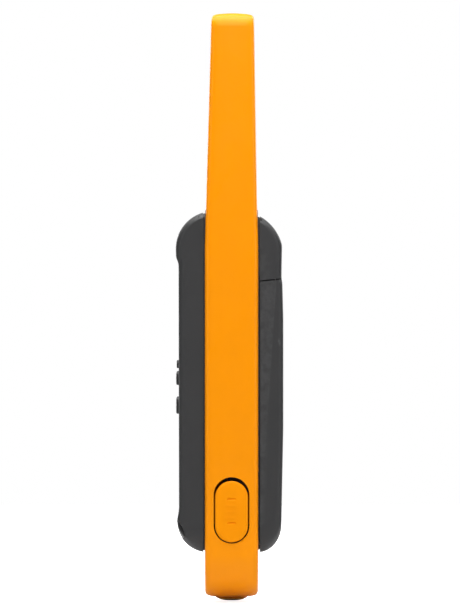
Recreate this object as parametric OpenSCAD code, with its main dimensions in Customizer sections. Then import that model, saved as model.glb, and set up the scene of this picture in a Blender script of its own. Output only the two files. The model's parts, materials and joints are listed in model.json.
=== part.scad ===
// Hand-held two way radio: a bright band runs round the outline of the body and up round a fixed antenna,
// and two dark half shells are clamped against it. Millimetres. +Z is up, -Y is the front with the keys,
// and the antenna rises on the +X side. The origin is the middle of the torch lens that ends the chin.

/* [Overall] */
// Width of the body across the band
body_w = 58; // [57:0.5:60]
// Height from the torch lens to the tip of the antenna
total_h = 190; // [184:1:196]
// Height of the body's shoulder at the foot of the antenna
shoulder_z = 129.5; // [129:0.1:130.5]
// Height at which the shells' domes start above the torch lens
shell_z0 = 16; // [15.5:0.1:16.5]

/* [Band] */
// Thickness of the band
band_wall = 2.4; // [2.2:0.1:2.6]
// Half the band's width along the body
band_half = 8.6; // [8.4:0.1:8.8]
// Width of the antenna across its tip
tip_w = 13.4; // [12.8:0.1:14]
// Radius of the corners at the chin
chin_r = 14; // [12:0.5:16]
// Radius of the corners at the antenna's tip
tip_r = 4.5; // [4:0.1:5]

/* [Shells] */
// Height of the crown of the front shell's upper bump above the band's middle plane
front_bump = 18; // [17.8:0.1:18.2]
// Depth of the flat front face
front_face = 17.1; // [16.9:0.1:17.3]
// Depth of the back of the battery door
rear_face = 16.7; // [16.6:0.1:16.8]
// Wall thickness of the shells and the battery door
shell_wall = 1.6; // [1.4:0.1:1.7]
// Gap between the band and the shells, seen as a dark seam
seam = 0.6; // [0.5:0.1:0.7]

/* [Keys] */
// How far the front keys stand out of the face
key_proud = 0.85; // [0.7:0.05:1]
// Travel of the front keys
key_travel = 0.6; // [0.4:0.1:0.6]
// Travel of the two side buttons
side_travel = 0.7; // [0.5:0.1:0.7]

/* [Ports] */
// Length of the opening for the charging socket
usb_l = 21.4; // [21:0.1:22]
// Width of the opening for the charging socket
usb_w = 11.5; // [11.2:0.1:11.8]
// Radius of the headset jack
jack_r = 1.25; // [1.2:0.05:1.3]
// Radius of the lanyard eyelet
eyelet_r = 2.5; // [2:0.1:2.6]

/* [Battery] */
// Diameter of one cell
cell_d = 14.4; // [14:0.1:14.5]
// Length of one cell with its button
cell_l = 50.5; // [50:0.1:50.5]

/* [Hidden] */
$fn = 48;

half_w = body_w / 2;
band_z0 = 1.45;                 // lowest line of the band, just above the torch lens
waist_z = 50;                   // where the sides start to draw in towards the chin
waist_in = 1.1;                 // how far they have drawn in at the chin
gentle_r = 1500;                // radius of the long soft bends in the sides
shoulder_drop = 2.5;            // fall of the shoulder from the antenna to the far corner
far_r = 12;                     // radius of the shoulder's far corner
lean = 1.8;                     // how far the antenna's outer side leans in by its tip
notch_x = 9.5;                  // foot of the antenna's inner side
notch_r = 7;                    // hollow radius there
shell_in = 2;                   // the shells stand in from the band by this much
shell_r = 8;                    // radius of the domes at the far top corner
shell_z1 = shoulder_z - 3.3;
shell_fall = 2;                 // fall of the shells' top edge towards the far corner
shell_foot_r = 7;               // corner radius at the shells' foot
edge = 1.8;                     // width of the worked edge where a shell's side turns into its face
draft = 0.7;                    // how far a shell's side leans in on its way to the face
rim_y = band_half + seam;
lip_y = 6.6;                    // how deep the shells' lips reach into the band
lip_rise_z = 111;               // above this the lips reach up to the band
touch = 0.1;                    // clearance between fitted parts

boss_top = [21, 101];
boss_foot = [14.5, 22];
BOSSES = [for (p = [boss_top, boss_foot], s = [-1, 1]) [s * p[0], p[1]]];
boss_r = 2.5;
screw_r = 1.1;

main_y = -2.8;                  // front of the main board
main_t = 1.2;
front_y = -12;                  // front of the keypad board
front_t = 1.2;
membrane_y = -13.5;             // front of the sheet that the keys press

plunger_x = -24.8;              // tips of the side switches

usb_z = 29.7;
cover_l = 19.8;
cover_w = 10.6;
cover_z = 29.3;
tether_z = 20.6;

eyelet_x = -18;
eyelet_z = 9;

speaker_z = 43;
speaker_r = 15.5;
mic_z = 23.6;
mic_r = 2.6;
status_x = -12;
status_z = 113;

KEYS = [                        // x, z, width, height
    [-13, 72.2, 9.4, 4.4], [0, 72.2, 9.4, 4.4], [13, 72.2, 9.4, 4.4],
    [-13, 63.4, 9.4, 5.4], [0, 63.4, 9.4, 5.4], [13, 63.4, 9.4, 5.4]
];
key_corner = 1.6;

display_z = 94.5;
display_w = 34;
display_h = 25;

ptt_z = 91;
ptt_l = 28.5;
ptt_w = 9.3;
lamp_z = 65;
lamp_l = 10.5;
lamp_w = 6.8;

cell_pitch = 14.9;
cell_y = 7.35;
bay_z0 = 37;
spring_l = 6;
plate_t = 0.5;
bay_z1 = bay_z0 + spring_l + cell_l + 2 * plate_t;
bay_w = 45.2;
bay_wall = 1.4;
bay_floor = -1.2;

seam_z = 103.4;                 // top of the battery door
seam_rise = 0.7;                // the seam climbs by this much towards the back
door_gap = 0.4;

jack_x = -10;
jack_y = 1;
cap_r = 4.1;

coil_x = 20;

DARK = [0.2, 0.2, 0.2];
BLACK = [0.06, 0.06, 0.06];
AMBER = [1, 0.61, 0.02];
STEEL = [0.75, 0.76, 0.78];
BOARD = [0.05, 0.3, 0.16];

// ---- outlines -------------------------------------------------------------------------------------

function unit(v) = v / norm(v);
function turn(a, b) = a[0] * b[1] - a[1] * b[0];
function at(list, i) = let(n = len(list), q = list[(i + n) % n]) [q[0], q[1]];

// The arc that rounds corner q, between the corners p and s.
function corner_arc(p, q, s, r, n) =
    let(a = unit(p - q), b = unit(s - q), half = acos(a * b) / 2,
        c = q + unit(a + b) * r / sin(half), from = q + a * r / tan(half) - c, to = q + b * r / tan(half) - c,
        a0 = atan2(from[1], from[0]), a1 = atan2(to[1], to[0]), sweep = (a1 - a0 + 540) % 360 - 180)
    [for (i = [0:n]) c + r * [cos(a0 + sweep * i / n), sin(a0 + sweep * i / n)]];

// A closed outline from corners [x, y, radius], listed anticlockwise.
function rounded(corners, n = 8) =
    [for (i = [0:len(corners) - 1]) let(r = corners[i][2])
        each r == 0 ? [at(corners, i)]
            : corner_arc(at(corners, i - 1), at(corners, i), at(corners, i + 1), r, n)];

// The same corners moved inwards by d, so that every run of the outline keeps its distance.
function inset(corners, d) =
    [for (i = [0:len(corners) - 1])
        let(p = at(corners, i - 1), q = at(corners, i), s = at(corners, i + 1),
            a = unit(p - q), b = unit(s - q), side = turn(q - p, s - q) > 0 ? 1 : -1,
            m = q + side * unit(a + b) * d / sin(acos(a * b) / 2))
        [m[0], m[1], corners[i][2] == 0 ? 0 : max(0.05, corners[i][2] - side * d)]];

function box_corners(x, z, w, h, r) = [
    [x - w / 2, z - h / 2, r], [x + w / 2, z - h / 2, r],
    [x + w / 2, z + h / 2, r], [x - w / 2, z + h / 2, r]
];

BAND = [
    [-half_w + waist_in, band_z0, chin_r], [half_w - waist_in, band_z0, chin_r], [half_w, waist_z, gentle_r],
    [half_w, shoulder_z - 7.5, gentle_r], [half_w - lean, total_h, tip_r],
    [half_w - lean - tip_w, total_h, tip_r],
    [notch_x, shoulder_z, notch_r], [-half_w, shoulder_z - shoulder_drop, far_r], [-half_w, waist_z, gentle_r]
];

shell_hw = half_w - shell_in;
shell_foot = shell_hw - waist_in * (waist_z - shell_z0) / (waist_z - band_z0);
SHELL = [
    [-shell_foot, shell_z0, shell_foot_r], [shell_foot, shell_z0, shell_foot_r], [shell_hw, waist_z, gentle_r],
    [shell_hw, shell_z1, 2.5], [-shell_hw, shell_z1 - shell_fall, 2 * shell_r], [-shell_hw, waist_z, gentle_r]
];

// How far the band reaches to the front and to the rear at height z: it narrows up the antenna.
function band_front(z) =
    lookup(z, [[0, band_half], [121, band_half], [128, band_half - 0.35], [187, 6.6], [250, 6.6]]);
function band_rear(z) =
    lookup(z, [[0, band_half], [122, band_half], [128, band_half - 0.35], [187, 7.3], [250, 7.3]]);

// ---- solids from outlines -------------------------------------------------------------------------

module prism_y(points, y0, y1)
    translate([0, y1, 0]) rotate([90, 0, 0]) linear_extrude(y1 - y0) polygon(points);
module prism_x(points, x0, x1)
    translate([x0, 0, 0]) rotate([90, 0, 90]) linear_extrude(x1 - x0) polygon(points);
module prism_z(points, z0, z1) translate([0, 0, z0]) linear_extrude(z1 - z0) polygon(points);
module rod_y(x, z, r, y0, y1) translate([x, y1, z]) rotate([90, 0, 0]) cylinder(r = r, h = y1 - y0);
module rod_x(y, z, r, x0, x1) translate([x0, y, z]) rotate([0, 90, 0]) cylinder(r = r, h = x1 - x0);
module block(x0, x1, y0, y1, z0, z1) translate([x0, y0, z0]) cube([x1 - x0, y1 - y0, z1 - z0]);

// A plate with rounded corners, w wide and h high, seen from the front.
module plate(x, z, w, h, r, y0, y1) prism_y(rounded(box_corners(x, z, w, h, r), 5), y0, y1);

// A straight pill of length l and width w, its length along Z, pushed along X.
module pill_x(z, w, l, x0, x1) {
    block(x0, x1, -w / 2, w / 2, z - (l - w) / 2, z + (l - w) / 2);
    for (s = [-1, 1]) rod_x(0, z + s * (l - w) / 2, w / 2, x0, x1);
}

// A pill of length l and width w, its length along X, pushed along Y.
module pill_y(x, z, l, w, y0, y1) {
    block(x - (l - w) / 2, x + (l - w) / 2, y0, y1, z - w / 2, z + w / 2);
    for (s = [-1, 1]) rod_y(x + s * (l - w) / 2, z, w / 2, y0, y1);
}

// A closed skin over a grid of points whose rows and columns both run round. It needs no caps.
module ring_skin(grid) {
    rows = len(grid);
    cols = len(grid[0]);
    polyhedron(
        points = [for (row = grid) each row],
        faces = [for (j = [0:rows - 1], i = [0:cols - 1])
            let(a = j * cols + i, b = j * cols + (i + 1) % cols, c = (j + 1) % rows * cols + (i + 1) % cols,
                d = (j + 1) % rows * cols + i)
            each [[a, b, c], [a, c, d]]]);
}

// A skin over rings of points that stand side by side, each with the same number, closed by the end rings.
module loft(rings) {
    n = len(rings[0]);
    last = len(rings) - 1;
    polyhedron(
        points = [for (ring = rings) each ring],
        faces = [
            for (j = [0:last - 1], i = [0:n - 1])
                let(a = j * n + i, b = j * n + (i + 1) % n, c = b + n, d = a + n)
                each [[a, b, c], [a, c, d]],
            [for (i = [n - 1:-1:0]) i],
            [for (i = [0:n - 1]) last * n + i]
        ]);
}

// A round wire along a helix about Z, with its flat ends.
module helix(r, wire_r, z0, z1, turns, per_turn = 12, sides = 6) {
    rings = turns * per_turn;
    polyhedron(
        points = [for (i = [0:rings], k = [0:sides - 1])
            let(a = 360 * i / per_turn, b = 360 * k / sides, out = r + wire_r * cos(b))
            [out * cos(a), out * sin(a), z0 + wire_r + (z1 - z0 - 2 * wire_r) * i / rings + wire_r * sin(b)]],
        faces = [
            for (i = [0:rings - 1], k = [0:sides - 1])
                let(a = i * sides + k, b = i * sides + (k + 1) % sides, c = b + sides, d = a + sides)
                each [[a, c, b], [a, d, c]],
            [for (k = [0:sides - 1]) k],
            [for (k = [sides - 1:-1:0]) rings * sides + k]
        ]);
}

// ---- the band and what it carries -----------------------------------------------------------------

// Points across the band: which side, how far in from that edge, how deep below the crown.
SECTION = [
    [-1, 0, band_wall], [-1, 0, 1.9], [-1, 0.3, 1.1], [-1, 0.9, 0.6], [-1, 2.4, 0.25], [-1, 6, 0],
    [1, 6, 0], [1, 2.4, 0.25], [1, 0.9, 0.6], [1, 0.3, 1.1], [1, 0, 1.9], [1, 0, band_wall]
];

module band_ring() {
    ring_skin([for (s = SECTION) [for (p = rounded(inset(BAND, s[2])))
        [p[0], s[0] * ((s[0] < 0 ? band_front(p[1]) : band_rear(p[1])) - s[1]), p[1]]]]);
}

module frame_band() color(AMBER) difference() {
    band_ring();
    pill_x(usb_z, usb_w, usb_l, 20, 35);
    pill_x(ptt_z, ptt_w, ptt_l, -35, -20);
    pill_x(lamp_z, lamp_w, lamp_l, -35, -20);
    translate([0, 0, -1]) cylinder(r = 5.6, h = 8);
    translate([jack_x, jack_y, 118]) cylinder(r = 3.3, h = 20);
    translate([jack_x, jack_y, 127]) cylinder(r = cap_r + 0.3, h = 5);
    block(jack_x - 7.3, jack_x - 3, jack_y - 1.7, jack_y + 1.7, 126.9, 132);
}

// Side view of the antenna's and the chin's dark filling, kept just below the band's edges.
module filling_profile(below) prism_x([
    [-band_front(0) + below, 0], [-band_front(121) + below, 121], [-band_front(187) + below, 187],
    [-band_front(187) + below, 200], [band_rear(187) - below, 200], [band_rear(187) - below, 187],
    [band_rear(121) - below, 121], [band_rear(0) - below, 0]
], -40, 40);

module band_filling(below, z0, z1, x0) difference() {
    intersection() {
        prism_y(rounded(inset(BAND, band_wall + touch)), -15, 15);
        filling_profile(below);
        block(x0, 40, -15, 15, z0, z1);
    }
    prism_y(rounded(inset(SHELL, -touch)), -20, 20);
}

module antenna_radome() color(DARK) difference() {
    band_filling(1.1, 112.5, 200, 4);
    translate([coil_x, 0, 127]) cylinder(r = 3.6, h = 56);
    translate([coil_x, 0, 110]) cylinder(r = 1.1, h = 20);
}

module antenna_former() color([0.9, 0.9, 0.88]) translate([coil_x, 0, 127.3]) {
    cylinder(r = 2.2, h = 54);
    cylinder(r = 3.4, h = 1.5);
}

module antenna_coil() color([0.72, 0.42, 0.24]) translate([coil_x, 0, 0]) helix(2.75, 0.4, 130, 180, 14);

module antenna_contact() color([0.85, 0.68, 0.3]) {
    translate([coil_x, 0, 110.4]) cylinder(r = 0.9, h = 16.8);
    block(coil_x - 1.5, coil_x + 1.5, main_y + main_t, 0.4, 106, 110.3);
}

module chin_housing() color(DARK) difference() {
    band_filling(1.2, 0, 29.5, -40);
    cylinder(r = 5.6, h = 3.9 + touch);
    cylinder(r = 4.9, h = 14);
    rod_y(eyelet_x, eyelet_z, eyelet_r, -12, 12);
    block(25.2, 40, -2.7, 2.7, tether_z - 0.2, tether_z + 0.7);
}

// Profiles are radius against height.
module torch_bezel() color([0.5, 0.28, 0.05]) rotate_extrude()
    polygon([[4.6, 0.75], [4.8, 0.75], [5.2, 1.15], [5.45, 1.8], [5.5, 3.9], [4.6, 3.9]]);

module torch_lens() color([0.85, 0.9, 0.95]) rotate_extrude()
    polygon([[0, 0], [2, 0], [3, 0.16], [3.9, 0.4], [4.5, 0.75], [4.5, 2.2], [0, 2.2]]);

module torch_reflector() color(STEEL) rotate_extrude()
    polygon([[4.2, 2.3], [4.5, 2.3], [4.5, 3.6], [2.1, 10.6], [1.6, 10.6], [4.1, 3.5]]);

module torch_led() color([0.95, 0.9, 0.6]) {
    translate([0, 0, 10.7]) cylinder(r = 4.4, h = 1.2);
    translate([0, 0, 9]) cylinder(r = 1.2, h = 1.7);
}

// ---- front shell ----------------------------------------------------------------------------------

// Both shells are lofts along X. Each ring is the side view, drawn in by the worked edge next to the sides, and
// pulled down and up where the far top corner and the foot are rounded. A profile takes d, its depth below the
// skin, [flat, round], how far the worked edge draws it in as a chamfer and as a fillet, and the two pulls.
// The sides lean in as they reach out from the rim; the front's start their lean at the rim.
STATIONS = [0, 0.25, 0.6, 1.1, edge, 3, 4.8, shell_r];

function fillet(r, from_side) = from_side >= r ? 0 : r - sqrt(r * r - (r - from_side) * (r - from_side));
function edge_in(from_side) = from_side >= edge ? [0, 0] : [edge - from_side, fillet(edge, from_side)];
function blend(pair, w) = pair[0] * w + pair[1] * (1 - w);

function shell_ring(front, side, from_side) =
    let(x = side * (shell_hw - from_side), top = shell_fall * (shell_hw - x) / (2 * shell_hw),
        down = top + (side < 0 ? fillet(shell_r, from_side) : 0), up = fillet(shell_foot_r, from_side),
        ring = front ? front_profile(0, edge_in(from_side), down, up)
            : rear_profile(0, edge_in(from_side), down, up))
    [for (p = ring) let(reach = abs(p[0]) - rim_y)
        [x - side * draft * (front ? max(0, reach) : reach) / (front_face - rim_y), p[0], p[1]]];

module shell_loft(front) loft([
    for (d = STATIONS) shell_ring(front, 1, d),
    for (i = [len(STATIONS) - 1:-1:0]) shell_ring(front, -1, STATIONS[i])
]);

front_top_c = [-6, 114.2];
front_foot_c = [-7.6, 26];
front_foot_r = 10;

// Side view of the front: upper brow, flat face and chin.
function front_profile(d, e = [0, 0], down = 0, up = 0) = let(r = front_bump + front_top_c[0] - d) concat(
    [[0, shell_z1 - d - e[0] - down]],
    [for (i = [0:12]) let(a = 90 + 7.5 * i, q = r - blend(e, 1 - i / 12))
        [front_top_c[0] + q * cos(a), front_top_c[1] + (q - down) * sin(a)]],
    [[-front_bump + d + e[1] + 0.05, 111.2], [-front_face + d + e[1], 109.4],
        [-front_face + 0.15 + d + e[1], 30], [front_foot_c[0] - front_foot_r + 0.08 + d + e[1], 27]],
    [for (i = [0:12]) let(a = 180 + 7.5 * i, q = front_foot_r - d - e[1])
        [front_foot_c[0] + q * cos(a), front_foot_c[1] + (q - up) * sin(a)]],
    [[0, shell_z0 + d + e[1] + up]]);

// Plan of a shell's hollow: side walls with a little draft, turning into the face.
function plan(face, d) = rounded([
    [-shell_hw + d, 0, 0], [-shell_hw + draft + d, -face + d, 1.2],
    [shell_hw - draft - d, -face + d, 1.2], [shell_hw - d, 0, 0]], 4);

// A ring between two depths of the shell's outline, from y0 to y1.
module rim_ring(outer, inner, y0, y1) difference() {
    prism_y(rounded(inset(SHELL, outer)), y0, y1);
    prism_y(rounded(inset(SHELL, inner)), y0 - 1, y1 + 1);
}

// The ring that locates a shell inside the band. It reaches up to the band's shoulder, and stops under the radome.
module lip(y0, y1) difference() {
    intersection() {
        union() {
            prism_y(rounded(inset(SHELL, 0.7)), y0, y1);
            block(-40, 3.9, y0, y1, lip_rise_z, shoulder_z);
            intersection() {
                prism_y(rounded(SHELL), y0, y1);
                block(0, 40, y0, y1, lip_rise_z, shoulder_z);
            }
        }
        prism_y(rounded(inset(BAND, band_wall + touch)), y0 - 1, y1 + 1);
    }
    prism_y(rounded([for (c = inset(SHELL, 2)) [c[0], c[1] - (c[1] > lip_rise_z ? 1.2 : 0), c[2]]]), y0 - 1, y1 + 1);
}

module front_dome() intersection() {
    shell_loft(true);
    block(-40, 40, -25, -rim_y, 0, 150);
}

module front_hollow(d) intersection() {
    prism_y(rounded(inset(SHELL, d)), -25, -rim_y);
    prism_x(front_profile(d), -40, 40);
    prism_z(plan(front_bump + 0.05, d), 0, 150);
}

CHIN_BAR = [[-19, 26], [-16.9, 25.4], [-15.3, 21.4], [-15.7, 20.9], [-19, 20.3]];

module grille_slots(y0, y1) {
    for (row = [-2:2], col = [-1:1]) {
        l = 11 - abs(row) * 1.6;
        pill_y(col * (l + 1.8), speaker_z + row * 4.1, l, 1.5, y0, y1);
    }
}

// A round wall standing on the inside of the face down to depth y1.
module pocket(z, r, wall, y1) difference() {
    rod_y(0, z, r + wall, -25, y1);
    rod_y(0, z, r, -26, y1 + 1);
}

module front_shell() color(DARK) {
    difference() {
        union() {
            difference() {
                front_dome();
                front_hollow(shell_wall);
            }
            intersection() {
                rim_ring(0.6, 2, -rim_y - shell_wall, -band_half + 0.3);
                prism_x(front_profile(0.4), -40, 40);
            }
            lip(-band_half + touch, -lip_y);
            for (b = BOSSES) rod_y(b[0], b[1], boss_r, -11, -1.4);
            intersection() {
                front_hollow(0.5);
                union() {
                    for (b = BOSSES) rod_y(b[0], b[1], boss_r, -25, -10);
                    pocket(speaker_z, speaker_r + 0.2, 1, -14);
                    pocket(mic_z, mic_r + 0.1, 0.8, -11.5);
                }
            }
            pill_y(0, 76.7, 9.4, 2.6, -front_face - 0.7, -front_face + 0.5);
        }
        for (k = KEYS) plate(k[0], k[1], k[2] + 0.5, k[3] + 0.5, key_corner + 0.25, -25, -12);
        plate(0, display_z, display_w + 0.2, display_h + 0.2, 2.1, -25, -front_face + 1.1);
        plate(0, display_z, display_w - 3, display_h - 3, 1, -25, -12);
        grille_slots(-25, -12);
        intersection() {
            prism_x(CHIN_BAR, -30, 30);
            difference() {
                prism_y(rounded(inset(SHELL, -2)), -25, -rim_y);
                front_hollow(0.9);
            }
        }
        rod_y(0, mic_z, 0.6, -25, -12);
        rod_y(status_x, status_z, 1.2, -25, -12);
        for (b = BOSSES) rod_y(b[0], b[1], screw_r + 0.05, -11, 0);
    }
}

module chin_insert() color(BLACK) difference() {
    intersection() {
        prism_x(CHIN_BAR, -30, 30);
        difference() {
            front_dome();
            front_hollow(0.85);
        }
    }
    rod_y(0, mic_z, 0.6, -25, -12);
}

module display_lens() color(BLACK)
    plate(0, display_z, display_w, display_h, 2, -front_face + 0.05, -front_face + 1.05);

module status_lens() color([0.9, 0.9, 0.9]) rod_y(status_x, status_z, 1.1, -front_bump + 0.15, front_y - 0.1);

// ---- speaker and microphone -----------------------------------------------------------------------

module about_speaker() translate([0, 0, speaker_z]) rotate([90, 0, 0]) children();

module speaker_mesh() color(BLACK) rod_y(0, speaker_z, speaker_r, -15.25, -15.1);

module speaker_gasket() color([0.12, 0.12, 0.12]) difference() {
    rod_y(0, speaker_z, speaker_r, -15.05, -14.7);
    rod_y(0, speaker_z, speaker_r - 1.6, -16, -14);
}

// Profiles are radius against depth in front of the middle plane.
module speaker_frame() color(STEEL) about_speaker() rotate_extrude()
    polygon([[13.9, 14.65], [15.5, 14.65], [15.5, 13.6], [14.4, 13.6], [10, 10.4], [8.1, 10.4], [8.1, 11.2],
        [9.6, 11.2], [13.9, 13.9]]);

module speaker_magnet() color([0.3, 0.3, 0.32]) about_speaker() rotate_extrude()
    polygon([[0, 7.6], [8, 7.6], [8, 11.2], [7.2, 11.2], [7.2, 8.6], [5.7, 8.6], [5.7, 11.2], [0, 11.2]]);

module voice_coil() color([0.72, 0.42, 0.24]) about_speaker() rotate_extrude()
    polygon([[6.1, 9.4], [6.7, 9.4], [6.7, 11.65], [6.1, 11.65]]);

module speaker_cone() color([0.15, 0.14, 0.13]) about_speaker() rotate_extrude()
    polygon([[0, 13.6], [3.2, 12.9], [6, 11.8], [7, 11.8], [12, 14.1], [13.6, 14.2], [13.6, 14.4],
        [11.8, 14.4], [6.8, 12.1], [6.2, 12.1], [3.2, 13.2], [0, 13.9]]);

module microphone() color(STEEL) rod_y(0, mic_z, 1.9, -12.2, -10);

module microphone_boot() color(BLACK) difference() {
    rod_y(0, mic_z, mic_r, -14.3, -9.4);
    rod_y(0, mic_z, 1.95, -12.25, -9.95);
    rod_y(0, mic_z, 0.8, -15, -12);
}

// ---- boards ---------------------------------------------------------------------------------------

module front_board() color(BOARD) plate(0, 86.3, 36, 58.6, 1, front_y, front_y + front_t);

module display_module() color([0.85, 0.85, 0.82]) block(-15, 15, -14.9, front_y - 0.05, 85, 104);

module key_domes() color(STEEL) for (k = KEYS) rod_y(k[0], k[1], 1.9, front_y - 0.3, front_y);

module keypad_membrane() color([0.25, 0.25, 0.27]) {
    block(-18, 18, membrane_y, -13, 59, 76);
    for (k = KEYS) rod_y(k[0], k[1], 1.3, -13.2, front_y - 0.35);
}

module main_board() color(BOARD) difference() {
    plate(0, 69.5, 44, 99, 2, main_y, main_y + main_t);
    for (b = BOSSES) rod_y(b[0], b[1], boss_r + 0.3, -5, 1);
}

module shield_can() color(STEEL) difference() {
    block(-16, 10, main_y - 2.6, main_y, 62, 92);
    block(-15.8, 9.8, main_y - 2.4, main_y + 1, 62.2, 91.8);
}

module board_chips() color([0.1, 0.1, 0.11]) {
    block(-10, -2, main_y - 1.1, main_y, 78, 86);
    block(0, 6, main_y - 0.9, main_y, 66, 72);
    block(12.5, 17.5, main_y - 1, main_y, 70, 75);
    block(-18, -10, main_y - 0.9, main_y, 50, 56);
    for (i = [0:5]) block(12.5 + i * 1.3, 13.3 + i * 1.3, main_y - 0.6, main_y, 80, 81.6);
}

module board_link() color(BLACK) block(-6, 6, front_y + front_t, main_y, 104, 107);

module side_switch(z) color([0.12, 0.12, 0.12]) {
    block(-24.2, -20.6, main_y - 3.2, main_y, z - 3, z + 3);
    rod_x(main_y - 1.6, z, 0.9, plunger_x, -24.1);
}
module ptt_switch() side_switch(ptt_z);
module torch_switch() side_switch(lamp_z);

// ---- keys and side buttons ------------------------------------------------------------------------

module key(i) color(BLACK) let(k = KEYS[i]) {
    plate(k[0], k[1], k[2], k[3], key_corner, -front_face - key_proud, -14.5);
    plate(k[0], k[1], k[2] + 1.4, k[3] + 1.2, key_corner, -15, membrane_y - key_travel - touch);
}
module key_power() key(0);
module key_menu() key(1);
module key_call() key(2);
module key_down() key(3);
module key_lock() key(4);
module key_up() key(5);

module side_button(z, w, l, proud) color(BLACK) {
    pill_x(z, w - 0.5, l - 0.5, -half_w - proud, -25.8);
    pill_x(z, w + 1.6, l + 1.6, -26.4, plunger_x - side_travel - touch);
}
module ptt_button() side_button(ptt_z, ptt_w, ptt_l, 0.8);
module torch_button() side_button(lamp_z, lamp_w, lamp_l, 0.4);

// ---- ports ----------------------------------------------------------------------------------------

module usb_socket() color(STEEL) difference() {
    block(20.2, 26.2, main_y + main_t, main_y + main_t + 2.9, usb_z - 3.9, usb_z + 3.9);
    block(20.5, 27, main_y + main_t + 0.3, main_y + main_t + 2.6, usb_z - 3.6, usb_z + 3.6);
}

module usb_tongue() color(BLACK)
    block(20.5, 25.6, main_y + main_t + 1.2, main_y + main_t + 1.8, usb_z - 3, usb_z + 3);

// The cover's flexible strap, from the hinge line under its lower end back into the housing.
module usb_tether() color(AMBER) block(25.4, 27.3, -2.5, 2.5, tether_z, tether_z + 0.5);

module usb_cover() color(AMBER) difference() {
    union() {
        pill_x(cover_z, cover_w, cover_l, 27.4, half_w - 0.1);
        pill_x(cover_z + 0.5, 4.6, 9.4, 26.5, 27.5);
    }
    block(half_w - 0.5, half_w + 1, -1.2, 1.2, 25.4, 25.9);
    block(half_w - 0.5, half_w + 1, -1.2, 1.2, 33.1, 33.6);
}

// The socket's neck reaches up into the band, to just below the cap.
module jack_socket() color(BLACK) difference() {
    union() {
        block(jack_x - 3, jack_x + 3, main_y + main_t, jack_y + 2.6, 111.4, 124.4);
        translate([jack_x, jack_y, 124]) cylinder(r = 2.6, h = 2.9);
    }
    translate([jack_x, jack_y, 112.4]) cylinder(r = jack_r, h = 16);
}

module jack_tether() color(AMBER)
    block(jack_x - 7.1, jack_x - cap_r - 0.5, jack_y - 1.5, jack_y + 1.5, 127, 127.6);

module jack_cap() color(AMBER) translate([jack_x, jack_y, 127.1]) cylinder(r = cap_r, h = 1.3);

// ---- rear shell, battery door and battery ---------------------------------------------------------

rear_top_c = [2.1, 111.73];
rear_top_r = 14.65;
upper_face = rear_face - 0.4;

// Side view of the rear: foot, battery cover, step at the seam and upper shell.
function rear_profile(d, e = [0, 0], down = 0, up = 0) = concat(
    [[0, shell_z0 + d + e[1] + up]],
    [for (i = [0:10]) let(a = 9 * i - 90, q = d + e[1])
        [band_half + (rear_face - 0.6 - band_half - q) * cos(a), 24.9 + (24.9 - shell_z0 - q) * sin(a) + up]],
    [[rear_face - d - e[1], 56], [rear_face - d - e[1], 92], [rear_face - 0.3 - d - e[1], seam_z + 0.1],
        [upper_face - 0.2 - d - e[1], seam_z + 0.35]],
    [for (i = [0:10]) let(a = 14.2 + 4.98 * i, q = rear_top_r - d - blend(e, i / 10))
        [rear_top_c[0] + q * cos(a), rear_top_c[1] + q * sin(a) - down]],
    [[0, 125.2 - d - e[0] - down]]);

module rear_dome() intersection() {
    shell_loft(false);
    block(-40, 40, rim_y, 25, 0, 150);
}

module rear_hollow(d) intersection() {
    prism_y(rounded(inset(SHELL, d)), rim_y, 25);
    prism_x(rear_profile(d), -40, 40);
    mirror([0, 1, 0]) prism_z(plan(rear_face + 0.05, d), 0, 150);
}

// Everything below the seam, which climbs a little towards the back.
module below_seam(up) prism_x([[0, -5], [30, -5],
    [30, seam_z + up + seam_rise * (30 - rim_y) / 7], [0, seam_z + up - seam_rise * rim_y / 7]], -40, 40);

// The two tongues that hinge the door's foot, or with grow the room they turn in.
module door_tabs(grow) for (s = [-1, 1])
    block(s * 7 - 3 - grow, s * 7 + 3 + grow, 7.2 - 2 * grow, 11, 16.9 - 5 * grow, 18.1 + 11 * grow);

// The battery bay, larger by grow all round.
module bay_block(grow, y0, y1)
    block(-bay_w / 2 - grow, bay_w / 2 + grow, y0, y1, bay_z0 - grow, bay_z1 + grow);

module clip_rails() {
    block(-8, 8, 13.3, 25, 107, 140);
    block(-9.5, 9.5, 13.3, 14.6, 107, 140);
}

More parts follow.
